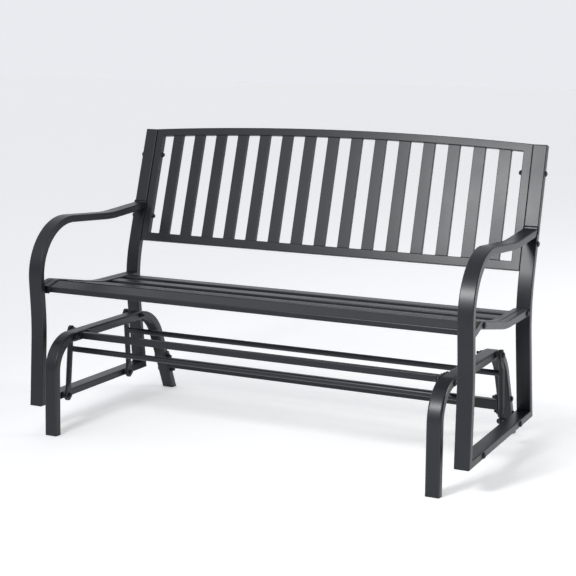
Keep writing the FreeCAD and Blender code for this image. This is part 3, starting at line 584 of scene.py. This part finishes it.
nose_top = Vector((0, seat_front_y, seat_top(seat_front_y) - slat_drop))
heel_top = Vector((0, front_slat_rear_y, seat_top(front_slat_rear_y) - slat_drop - 0.5))
drop = Vector((0, 0, -slat_thickness))
nose_outline = [nose_top, nose_top + drop, heel_top + drop, heel_top]
nose_mesh = bpy.data.meshes.new("seat_front_slat")
nose_points = [(point + X * x) * mm for x in (-slat_end_x, slat_end_x) for point in nose_outline]
nose_mesh.from_pydata(nose_points, [], [
    (0, 1, 2, 3), (7, 6, 5, 4), (0, 4, 5, 1), (1, 5, 6, 2), (2, 6, 7, 3), (3, 7, 4, 0),
])
nose_mesh.materials.append(frame_coat)
nose_shape = bmesh.new()
nose_shape.from_mesh(nose_mesh)
long_edges = [edge for edge in nose_shape.edges if edge.calc_length() > slat_end_x * mm]
bmesh.ops.bevel(nose_shape, geom=long_edges, offset=2.5 * mm, segments=5, affect="EDGES", profile=0.5)
nose_shape.to_mesh(nose_mesh)
nose_shape.free()
settle(place(nose_mesh, "seat_front_slat"), "bench", "powder_coated_steel", "seat_slat_1")

# ------------------------------------------------------------------- the back
# The back is one welded panel of 15 mm deep tube between the posts: two
# stiles, a straight bottom rail and an arched top rail, mitred at the corners,
# with fifteen flat slats of 35 by 10 mm tube. It is drawn flat, X across and Y
# up, and then leaned onto the line of the posts.

panel_half = 595.0
stile_width, low_rail_height, crown_height = 25.0, 25.0, 22.5
panel_foot_z, panel_end_z, panel_crown_z = 471.5, 806.0, 824.3
panel_foot = on_post(panel_foot_z)
panel_end = (panel_end_z - panel_foot.z) / post_run.z
panel_crown = (panel_crown_z - panel_foot.z) / post_run.z
crown_rise = panel_crown - panel_end
crown_radius = (panel_half ** 2 + crown_rise ** 2) / (2 * crown_rise)
crown_centre = panel_crown - crown_radius
lean = Matrix.Translation(Vector((0, panel_foot.y, panel_foot.z)) * mm) @ Matrix.Rotation(
    math.atan2(post_run.z, post_run.y), 4, "X"
)
panel_depth, panel_corner = 15.0, 2.0


def crown_at(x, below=0.0):
    """Height up the panel of the top of the arch, or of an arc below it."""
    return crown_centre + math.sqrt((crown_radius - below) ** 2 - x ** 2)


# The arch is one long bend: its two end tangents meet above the middle.
middle_radius = crown_radius - crown_height / 2
arch_reach = math.asin((panel_half + overrun) / middle_radius)
arch_end = Vector((
    middle_radius * math.sin(arch_reach), crown_centre + middle_radius * math.cos(arch_reach), 0,
))
arch_peak = Vector((0, crown_centre + middle_radius / math.cos(arch_reach), 0))
arch_tail = (arch_end - arch_peak).normalized()
arch_left = Vector((-arch_end.x, arch_end.y, 0)) + Vector((-arch_tail.x, arch_tail.y, 0))
top_rail = tube(
    "back_arched_rail", [arch_left, arch_peak, arch_end + arch_tail], [middle_radius],
    (panel_depth, crown_height, panel_corner), Z,
)
top_outer = Vector((panel_half, crown_at(panel_half), 0))
top_inner = Vector((panel_half - stile_width, crown_at(panel_half - stile_width, crown_height), 0))
top_across = top_outer - top_inner
top_mitre = Vector((top_across.y, -top_across.x, 0)).normalized()
low_mitre = Vector((low_rail_height, stile_width, 0)).normalized()
low_outer = Vector((panel_half, 0, 0))
low_rail = tube(
    "back_low_rail", [(-panel_half, low_rail_height / 2, 0), (panel_half, low_rail_height / 2, 0)], [],
    (panel_depth, low_rail_height, panel_corner), Z,
)
for piece, point, normal in ((top_rail, top_outer, top_mitre), (low_rail, low_outer, low_mitre)):
    saw(piece, point, normal)
    saw(piece, (-point.x, point.y, 0), Vector((-normal.x, normal.y, 0)))
stile_x = panel_half - stile_width / 2
stile = tube(
    "right_back_upright", [(stile_x, 0, 0), (stile_x, panel_crown, 0)], [],
    (panel_depth, stile_width, panel_corner), Z,
)
saw(stile, top_outer, -top_mitre)
saw(stile, low_outer, -low_mitre)
for piece in (top_rail, low_rail, stile):
    piece.data.transform(lean)
settle(top_rail, "bench", "powder_coated_steel", "back_top_rail")
settle(low_rail, "bench", "powder_coated_steel", "back_bottom_rail")
settle_pair(stile, "back_upright", "back_stile")

back_slat_count, back_slat_pitch = 15, 74.1
back_slat_width, back_slat_thickness = 35.0, 10.0
picket_tree, picket_in = new_tree("back slats", (
    ("Count", "Int"), ("Pitch", "Float"), ("Foot", "Float"), ("Crown Radius", "Float"),
    ("Crown Centre", "Float"), ("Slat Width", "Float"), ("Slat Thickness", "Float"),
    ("Corner", "Float"), ("Material", "Material"),
))
last = add(picket_tree, "ShaderNodeMath", {0: picket_in["Count"], 1: 1.0}, operation="SUBTRACT")
half_run = add(picket_tree, "ShaderNodeMath", {0: last.outputs[0], 1: -0.5}, operation="MULTIPLY")
first_x = add(picket_tree, "ShaderNodeMath", {
    0: half_run.outputs[0], 1: picket_in["Pitch"],
}, operation="MULTIPLY")
picket_row = add(picket_tree, "GeometryNodeMeshLine", {
    "Count": picket_in["Count"],
    "Start Location": add(picket_tree, "ShaderNodeCombineXYZ", {
        "X": first_x.outputs[0], "Y": picket_in["Foot"],
    }).outputs[0],
    "Offset": add(picket_tree, "ShaderNodeCombineXYZ", {"X": picket_in["Pitch"]}).outputs[0],
})
picket_at = add(picket_tree, "ShaderNodeSeparateXYZ", {
    0: add(picket_tree, "GeometryNodeInputPosition").outputs[0],
})
x_squared = add(picket_tree, "ShaderNodeMath", {0: picket_at.outputs["X"], 1: 2.0}, operation="POWER")
radius_squared = add(picket_tree, "ShaderNodeMath", {0: picket_in["Crown Radius"], 1: 2.0}, operation="POWER")
under_root = add(picket_tree, "ShaderNodeMath", {
    0: radius_squared.outputs[0], 1: x_squared.outputs[0],
}, operation="SUBTRACT")
arch_y = add(picket_tree, "ShaderNodeMath", {0: under_root.outputs[0]}, operation="SQRT")
top_y = add(picket_tree, "ShaderNodeMath", {
    0: arch_y.outputs[0], 1: picket_in["Crown Centre"],
}, operation="ADD")
picket_length = add(picket_tree, "ShaderNodeMath", {
    0: top_y.outputs[0], 1: picket_at.outputs["Y"],
}, operation="SUBTRACT")
unit_line = add(picket_tree, "GeometryNodeCurvePrimitiveLine", {"End": Y})
picket_lines = add(picket_tree, "GeometryNodeInstanceOnPoints", {
    "Points": picket_row.outputs[0], "Instance": unit_line.outputs[0],
    "Scale": add(picket_tree, "ShaderNodeCombineXYZ", {
        "X": 1.0, "Y": picket_length.outputs[0], "Z": 1.0,
    }).outputs[0],
})
real_lines = add(picket_tree, "GeometryNodeRealizeInstances", {"Geometry": picket_lines.outputs[0]})
picket_steady = add(picket_tree, "GeometryNodeSetCurveNormal", {
    "Curve": real_lines.outputs[0], "Normal": Z,
}, mode="FREE")
picket_section = add(picket_tree, "GeometryNodeGroup", {
    "Width": picket_in["Slat Thickness"], "Depth": picket_in["Slat Width"], "Corner": picket_in["Corner"],
}, node_tree=section_tree)
drawn_pickets = add(picket_tree, "GeometryNodeCurveToMesh", {
    "Curve": picket_steady.outputs[0], "Profile Curve": picket_section.outputs[0], "Fill Caps": True,
})
close_tree(picket_tree, drawn_pickets.outputs[0], picket_in["Material"])
back_slats = grown("back_slats", bpy.data.meshes.new("back_slats"), picket_tree, {
    "Count": back_slat_count, "Pitch": back_slat_pitch * mm, "Foot": low_rail_height * mm,
    "Crown Radius": middle_radius * mm, "Crown Centre": crown_centre * mm,
    "Slat Width": back_slat_width * mm, "Slat Thickness": back_slat_thickness * mm,
    "Corner": 1.5 * mm, "Material": frame_coat,
})
back_slats.data.transform(lean)
settle(back_slats, "bench", "powder_coated_steel", *["back_slat_%02d" % n for n in range(1, 16)])

# ------------------------------------------------------------------ the stand
# Each side of the stand is one 37.5 by 24 mm tube, bent twice into a low arch
# that the swing links hang from. Two crossbars with welded end plates are
# bolted between the arches: 18 mm square in front, 22 by 28 mm at the rear.

stand_x = 550.25
stand_front_y = -314.5
stand_rear_slope = -0.441
stand_top_z = 260.0
rear_foot = Vector((stand_x, 305.0, 0))


def on_rear_leg(z):
    """Point on the centreline of the stand's rear leg at a height in mm."""
    return Vector((stand_x, rear_foot.y + stand_rear_slope * z, z))


stand_tube = tube(
    "right_stand_arch",
    [(stand_x, stand_front_y, 3.0), (stand_x, stand_front_y, stand_top_z),
     on_rear_leg(stand_top_z), on_rear_leg(-overrun)],
    [86.0, 125.0], (37.5, 24.0, 5.0), X,
)
saw(stand_tube, (stand_x, rear_foot.y, 3.0), -Z)
settle_pair(stand_tube, "stand_arch", "stand_tube", "base")

for node in ("front_crossbar", "rear_crossbar"):
    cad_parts[node].data.materials[0] = frame_coat

# ---------------------------------------------------- swing links and cross tubes
# A link is a 16 mm round tube with both ends pressed flat into eyes. A cross
# tube welded between the left and the right link makes each pair one frame.

for node in (
    "left_front_link", "right_front_link", "left_rear_link", "right_rear_link",
    "front_swing_bar", "rear_swing_bar",
):
    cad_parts[node].data.materials[0] = frame_coat


# ------------------------------------------------------------- caps and bushes
# The stand's feet and the tops of the posts are closed by moulded black
# plastic plugs. The links turn on black nylon bushes pressed into their eyes.

def moulded(name, dark, light, roughness, texture_scale):
    """Black plastic: a dull, finely sparked skin with soft gloss."""
    plastic = bpy.data.materials.new(name)
    plastic.use_nodes = True
    tree = plastic.node_tree
    shader = tree.nodes["Principled BSDF"]
    at = add(tree, "ShaderNodeTexCoord").outputs["Object"]
    spark = add(tree, "ShaderNodeTexNoise", {"Vector": at, "Scale": texture_scale, "Detail": 3.0})
    flow = add(tree, "ShaderNodeTexNoise", {"Vector": at, "Scale": 45.0, "Detail": 2.0, "Distortion": 0.6})
    colour = add(tree, "ShaderNodeMix", {
        0: flow.outputs["Fac"], 6: paint(dark), 7: paint(light),
    }, data_type="RGBA")
    tree.links.new(colour.outputs[2], shader.inputs["Base Color"])
    rough = add(tree, "ShaderNodeMapRange", {
        "Value": spark.outputs["Fac"], "To Min": roughness - 0.08, "To Max": roughness + 0.08,
    })
    tree.links.new(rough.outputs["Result"], shader.inputs["Roughness"])
    skin = add(tree, "ShaderNodeBump", {"Height": spark.outputs["Fac"], "Strength": 0.35, "Distance": 0.0003})
    tree.links.new(skin.outputs["Normal"], shader.inputs["Normal"])
    shader.inputs["IOR"].default_value = 1.49
    return plastic


# Spark texture is 0.2 mm. It is drawn at 1.2 mm on the caps and at 0.8 mm on
# the bushes to show.
cap_plastic = moulded("moulded_polyethylene_black", "161718", "202123", 0.55, 830.0)
bush_nylon = moulded("turned_nylon_black", "1a1a1b", "252526", 0.45, 1200.0)
for side in ("left", "right"):
    for cap in ("_post_cap", "_front_foot_cap", "_rear_foot_cap"):
        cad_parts[side + cap].data.materials[0] = cap_plastic
for node in ("front_swing_bushes", "rear_swing_bushes"):
    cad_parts[node].data.materials[0] = bush_nylon

# ------------------------------------------------------------------- fasteners
# Button head bolts with hexagon sockets, closed by low dome nuts on the bench
# and by plain hexagon nuts on the inner side of the stand. The seat's bolts end
# inside its end bars. All are M8, blackened steel.

bolt_steel = bpy.data.materials.new("blackened_steel")
bolt_steel.use_nodes = True
oxide = bolt_steel.node_tree
oxide_shader = oxide.nodes["Principled BSDF"]
oxide_at = add(oxide, "ShaderNodeTexCoord").outputs["Object"]
# Black oxide takes unevenly, in clouds of about 4 mm.
oxide_cloud = add(oxide, "ShaderNodeTexNoise", {"Vector": oxide_at, "Scale": 250.0, "Detail": 4.0})
oxide_tone = add(oxide, "ShaderNodeMix", {
    0: oxide_cloud.outputs["Fac"], 6: paint("17181a"), 7: paint("303236"),
}, data_type="RGBA")
oxide.links.new(oxide_tone.outputs[2], oxide_shader.inputs["Base Color"])
oxide_rough = add(oxide, "ShaderNodeMapRange", {
    "Value": oxide_cloud.outputs["Fac"], "To Min": 0.28, "To Max": 0.5,
})
oxide.links.new(oxide_rough.outputs["Result"], oxide_shader.inputs["Roughness"])
oxide_skin = add(oxide, "ShaderNodeBump", {
    "Height": oxide_cloud.outputs["Fac"], "Strength": 0.2, "Distance": 0.0001,
})
oxide.links.new(oxide_skin.outputs["Normal"], oxide_shader.inputs["Normal"])
oxide_shader.inputs["Metallic"].default_value = 0.6


def turned_part(name, rings, steps=24):
    """A turned part from rings of radius, height and whether it is hexagonal,
    in mm, from the base up. A hexagonal radius is measured across the flats."""
    pattern = bmesh.new()
    loops = []
    for radius, height, hexagonal in rings:
        loop = []
        for step in range(steps):
            angle = math.tau * step / steps
            from_flat = angle % (math.pi / 3) - math.pi / 6
            reach = radius / math.cos(from_flat) if hexagonal else radius
            spot = Vector((math.cos(angle) * reach, math.sin(angle) * reach, height))
            loop.append(pattern.verts.new(spot * mm))
        loops.append(loop)
    for low, high in zip(loops, loops[1:]):
        for step in range(steps):
            after = (step + 1) % steps
            pattern.faces.new((low[step], low[after], high[after], high[step]))
    pattern.faces.new(loops[-1])
    pattern.faces.new(loops[0][::-1])
    mesh = bpy.data.meshes.new(name)
    pattern.to_mesh(mesh)
    pattern.free()
    return place(mesh, name)


button_head = turned_part("button_head", [
    (8.0, 0.0, False), (8.0, 1.0, False), (7.72, 2.3, False), (7.0, 3.5, False),
    (6.1, 4.4, False), (5.0, 5.0, False), (3.1, 5.0, False), (2.5, 4.7, True), (2.5, 2.5, True),
    (0.3, 1.8, False),
])
hexagon_nut = turned_part("hexagon_nut", [
    (6.5, 0.0, True), (6.5, 5.5, True), (6.3, 6.2, False), (5.9, 6.5, False), (4.3, 6.5, False),
    (4.0, 6.3, False), (3.9, 6.9, False), (3.4, 7.2, False), (0.3, 7.2, False),
])
dome_nut = turned_part("dome_nut", [
    (6.5, 0.0, True), (6.5, 3.5, True), (6.25, 4.0, False), (6.25, 4.6, False), (5.5, 6.2, False),
    (4.2, 7.3, False), (2.4, 7.85, False), (0.3, 8.0, False),
])

fastener_tree, fastener_in = new_tree("fasteners", (
    ("Pattern", "Object"), ("Shank Radius", "Float"), ("Seed", "Int"), ("Material", "Material"),
))
outward = add(fastener_tree, "GeometryNodeInputNamedAttribute", {"Name": "outward"}, data_type="FLOAT_VECTOR")
shank = add(fastener_tree, "GeometryNodeInputNamedAttribute", {"Name": "shank"}, data_type="FLOAT")
pattern_mesh = add(fastener_tree, "GeometryNodeObjectInfo", {"Object": fastener_in["Pattern"]})
facing = add(fastener_tree, "FunctionNodeAlignRotationToVector", {"Vector": outward.outputs[0]}, axis="Z")
tighten = add(fastener_tree, "FunctionNodeRandomValue", {
    "Min": (0, 0, 0), "Max": (0, 0, math.tau), "Seed": fastener_in["Seed"],
}, data_type="FLOAT_VECTOR")
turned_to = add(fastener_tree, "FunctionNodeRotateRotation", {
    "Rotation": facing.outputs[0], "Rotate By": tighten.outputs[0],
}, rotation_space="LOCAL")
heads = add(fastener_tree, "GeometryNodeInstanceOnPoints", {
    "Points": fastener_in["Geometry"], "Instance": pattern_mesh.outputs["Geometry"],
    "Rotation": turned_to.outputs[0],
})
shank_rod = add(fastener_tree, "GeometryNodeMeshCylinder", {
    "Vertices": 20, "Radius": fastener_in["Shank Radius"], "Depth": 1.0,
})
shank_down = add(fastener_tree, "GeometryNodeTransform", {
    "Geometry": shank_rod.outputs[0], "Translation": (0, 0, -0.5),
})
shanks = add(fastener_tree, "GeometryNodeInstanceOnPoints", {
    "Points": fastener_in["Geometry"], "Instance": shank_down.outputs[0],
    "Selection": add(fastener_tree, "FunctionNodeCompare", {0: shank.outputs[0], 1: 0.0},
                     data_type="FLOAT", operation="GREATER_THAN").outputs[0],
    "Rotation": facing.outputs[0],
    "Scale": add(fastener_tree, "ShaderNodeCombineXYZ", {
        "X": 1.0, "Y": 1.0, "Z": shank.outputs[0],
    }).outputs[0],
})
all_parts = add(fastener_tree, "GeometryNodeJoinGeometry")
fastener_tree.links.new(heads.outputs[0], all_parts.inputs[0])
fastener_tree.links.new(shanks.outputs[0], all_parts.inputs[0])
close_tree(fastener_tree, all_parts.outputs[0], fastener_in["Material"])


def fasten(name, pattern, spots, body, node, shank_length=0.0, inward=False):
    """Fasteners at spots (x, y, z) in mm on the right, and the same on the left."""
    places = [Vector((side * x, y, z)) for side in (1, -1) for x, y, z in spots]
    mesh = bpy.data.meshes.new(name)
    mesh.from_pydata([spot * mm for spot in places], [], [])
    outs = [math.copysign(1, spot.x) * (-1 if inward else 1) for spot in places]
    mesh.attributes.new("outward", "FLOAT_VECTOR", "POINT").data.foreach_set(
        "vector", [value for out in outs for value in (out, 0, 0)]
    )
    mesh.attributes.new("shank", "FLOAT", "POINT").data.foreach_set(
        "value", [shank_length * mm] * len(places)
    )
    piece = grown(name, mesh, fastener_tree, {
        "Pattern": pattern, "Shank Radius": 3.9 * mm, "Seed": 8, "Material": bolt_steel,
    })
    settle(piece, body, "blackened_steel", node)


# Faces that heads and nuts sit against, out from the middle of the bench. The
# pivot heads and low nuts stand 0.3 mm off the links, which turn beside them.
frame_outer_x, rail_outer_x, stile_inner_x = 635.0, 630.0, 570.0
stand_outer_x, stand_inner_x, plate_inner_x = 569.0, 531.5, 528.5
pivot_head_x, low_nut_x = 587.3, 578.7
front_bolt_y = -232.0
back_bolt_heights, rear_bar_bolt_heights = (545.4, 729.5), (62.0, 108.0)
seat_bolt_depths = (-205.0, 173.0)

low_pivots = [(-197.0, 80.0), (120.0, 80.0)]
top_pivots = [(-181.0, 263.0), (104.0, 263.0)]
back_holes = [(on_post(z).y, z) for z in back_bolt_heights]
seat_holes = [(y, min(seat_top(y), seat_crest[1]) - rail_half) for y in seat_bolt_depths]
bar_holes = [(front_bolt_y, stand_top_z)] + [(on_rear_leg(z).y, z) for z in rear_bar_bolt_heights]
for name, head_x, holes, body, node, shank_length in (
    ("low_pivot_bolts", frame_outer_x, low_pivots, "bench", "lower_pivot_bolts", 56.0),
    ("back_fixing_bolts", frame_outer_x, back_holes, "bench", "back_bolts", 65.0),
    ("seat_fixing_bolts", rail_outer_x, seat_holes, "bench", "seat_bolts", 27.0),
    ("top_pivot_bolts", pivot_head_x, top_pivots, "base", "upper_pivot_bolts", 71.3),
    ("crossbar_fixing_bolts", stand_outer_x, bar_holes, "base", "crossbar_bolts", 53.0),
):
    fasten(name, button_head, [(head_x, *at) for at in holes], body, node, shank_length)
fasten(
    "stand_hexagon_nuts", hexagon_nut,
    [(stand_inner_x, *top_pivots[1])] + [(plate_inner_x, *at) for at in bar_holes + top_pivots[:1]],
    "base", "stand_nuts", inward=True,
)
fasten(
    "bench_dome_nuts", dome_nut,
    [(low_nut_x, *at) for at in low_pivots] + [(stile_inner_x, *at) for at in back_holes],
    "bench", "bench_cap_nuts", inward=True,
)
for pattern in (button_head, hexagon_nut, dome_nut):
    bpy.data.objects.remove(pattern)

# ----------------------------------------------------------------- weld beads
# Where tube meets tube square on, a bead of weld runs round the joint under
# the coat: 2.6 to 4 mm wide, laid in ripples 1.6 mm apart.

bead_tree, bead_in = new_tree("weld bead", (
    ("Bead Radius", "Float"), ("Ripple Length", "Float"), ("Ripple Height", "Float"),
    ("Seed", "Float"), ("Material", "Material"),
))
seam_line = add(bead_tree, "GeometryNodeMeshToCurve", {"Mesh": bead_in["Geometry"]})
seam_step = add(bead_tree, "ShaderNodeMath", {0: bead_in["Ripple Length"], 1: 0.5}, operation="MULTIPLY")
seam_points = add(bead_tree, "GeometryNodeResampleCurve", {
    "Curve": seam_line.outputs[0], "Length": seam_step.outputs[0],
}, mode="LENGTH")
point_number = add(bead_tree, "GeometryNodeInputIndex")
odd = add(bead_tree, "ShaderNodeMath", {0: point_number.outputs[0], 1: 2.0}, operation="MODULO")
swell = add(bead_tree, "ShaderNodeMath", {
    0: odd.outputs[0], 1: bead_in["Ripple Height"],
}, operation="MULTIPLY")
hand = add(bead_tree, "ShaderNodeTexNoise", {
    "W": bead_in["Seed"], "Scale": 90.0, "Detail": 1.0,
}, noise_dimensions="4D")
wander = add(bead_tree, "ShaderNodeMapRange", {
    "Value": hand.outputs["Fac"], "From Min": 0.3, "From Max": 0.7, "To Min": 0.75, "To Max": 1.15,
})
bead_size = add(bead_tree, "ShaderNodeMath", {
    0: swell.outputs[0], 1: wander.outputs["Result"],
}, operation="ADD")
uneven = add(bead_tree, "GeometryNodeSetCurveRadius", {
    "Curve": seam_points.outputs[0], "Radius": bead_size.outputs[0],
})
bead_section = add(bead_tree, "GeometryNodeCurvePrimitiveCircle", {
    "Resolution": 6, "Radius": bead_in["Bead Radius"],
})
bead_mesh = add(bead_tree, "GeometryNodeCurveToMesh", {
    "Curve": uneven.outputs[0], "Profile Curve": bead_section.outputs[0], "Fill Caps": True,
    "Scale": add(bead_tree, "GeometryNodeInputRadius").outputs[0],
})
close_tree(bead_tree, bead_mesh.outputs[0], bead_in["Material"])


def ring(middle, across, along, width, height, corner):
    """Closed outline of a tube's end: width along one direction, height along
    the other, in mm."""
    points = []
    for quarter, (u, v) in enumerate(((1, 1), (-1, 1), (-1, -1), (1, -1))):
        for step in range(4):
            angle = math.pi / 2 * (quarter + step / 3)
            a = u * (width / 2 - corner) + corner * math.cos(angle)
            b = v * (height / 2 - corner) + corner * math.sin(angle)
            points.append(Vector(middle) + across * a + along * b)
    return points


def weld(name, rings, body, radius=1.6):
    """Weld beads round these outlines, as one piece on a body."""
    points, edges = [], []
    for outline in rings:
        first = len(points)
        points += [point * mm for point in outline]
        count = len(outline)
        edges += [(first + i, first + (i + 1) % count) for i in range(count)]
    mesh = bpy.data.meshes.new(name)
    mesh.from_pydata(points, edges, [])
    piece = grown(name, mesh, bead_tree, {
        "Bead Radius": radius * mm, "Ripple Length": 1.6 * mm, "Ripple Height": 0.18,
        "Seed": 3.0, "Material": frame_coat,
    })
    settle(piece, body, "powder_coated_steel")


def both(rings):
    """The same outlines on both sides of the bench."""
    return rings + [[Vector((-p.x, p.y, p.z)) for p in outline] for outline in rings]


slat_rings = []
for spot, tilt in zip(slat_spots, slat_tilts):
    along = Vector((0, math.cos(tilt), math.sin(tilt)))
    up = Vector((0, -math.sin(tilt), math.cos(tilt)))
    slat_rings.append(ring(spot + X * slat_end_x, along, up, slat_width, slat_thickness, 2.5))
slat_rings.append([point + X * slat_end_x for point in nose_outline])
weld("seat_slat_welds", both(slat_rings), "bench")

picket_rings = []
for number in range(back_slat_count):
    x = (number - (back_slat_count - 1) / 2) * back_slat_pitch
    flat_ring = ring((x, low_rail_height, 0), X, Z, back_slat_width, back_slat_thickness, 1.5)
    picket_rings.append([lean @ (point * mm) / mm for point in flat_ring])
    arch_ring = [Vector((p.x, crown_at(p.x, crown_height), p.z)) for p in flat_ring]
    picket_rings.append([lean @ (point * mm) / mm for point in arch_ring])
weld("back_slat_welds", picket_rings, "bench", radius=1.3)

# Arm and rail are cut at a slant, so their ends are taller than their tubes.
arm_end_height, rail_end_height, rail_end_drop = 21.0, 21.5, 2.5
arm_face = on_post(arm_end.z) - behind_arm * half_depth
rail_face = rail_start - leg_upper_run * rail_half
rail_end = rail_face + X * (rail_x - side_x) - Z * rail_end_drop
side_rings = [
    ring(arm_face, X, post_run, side_size[0], arm_end_height, side_size[2]),
    ring(rail_end, X, leg_upper_run, rail_size[0], rail_end_height, rail_size[2]),
]
weld("side_frame_welds", both(side_rings), "bench", radius=2.0)

front_bar_y, rear_bar_z = -206.5, 85.0
front_bar_size, rear_bar_size = (18.0, 18.0, 2.5), (22.0, 28.0, 2.5)
stand_rings = [
    ring((plate_inner_x, front_bar_y, stand_top_z), Y, Z, *front_bar_size),
    ring((plate_inner_x, on_rear_leg(rear_bar_z).y, rear_bar_z), Y, Z, *rear_bar_size),
]
weld("stand_welds", both(stand_rings), "base")

# ------------------------------------------------------------------ the record
size = {
    "cad": [list(corner) for corner in cad_box],
    "visual": [list(corner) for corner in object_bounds()],
}
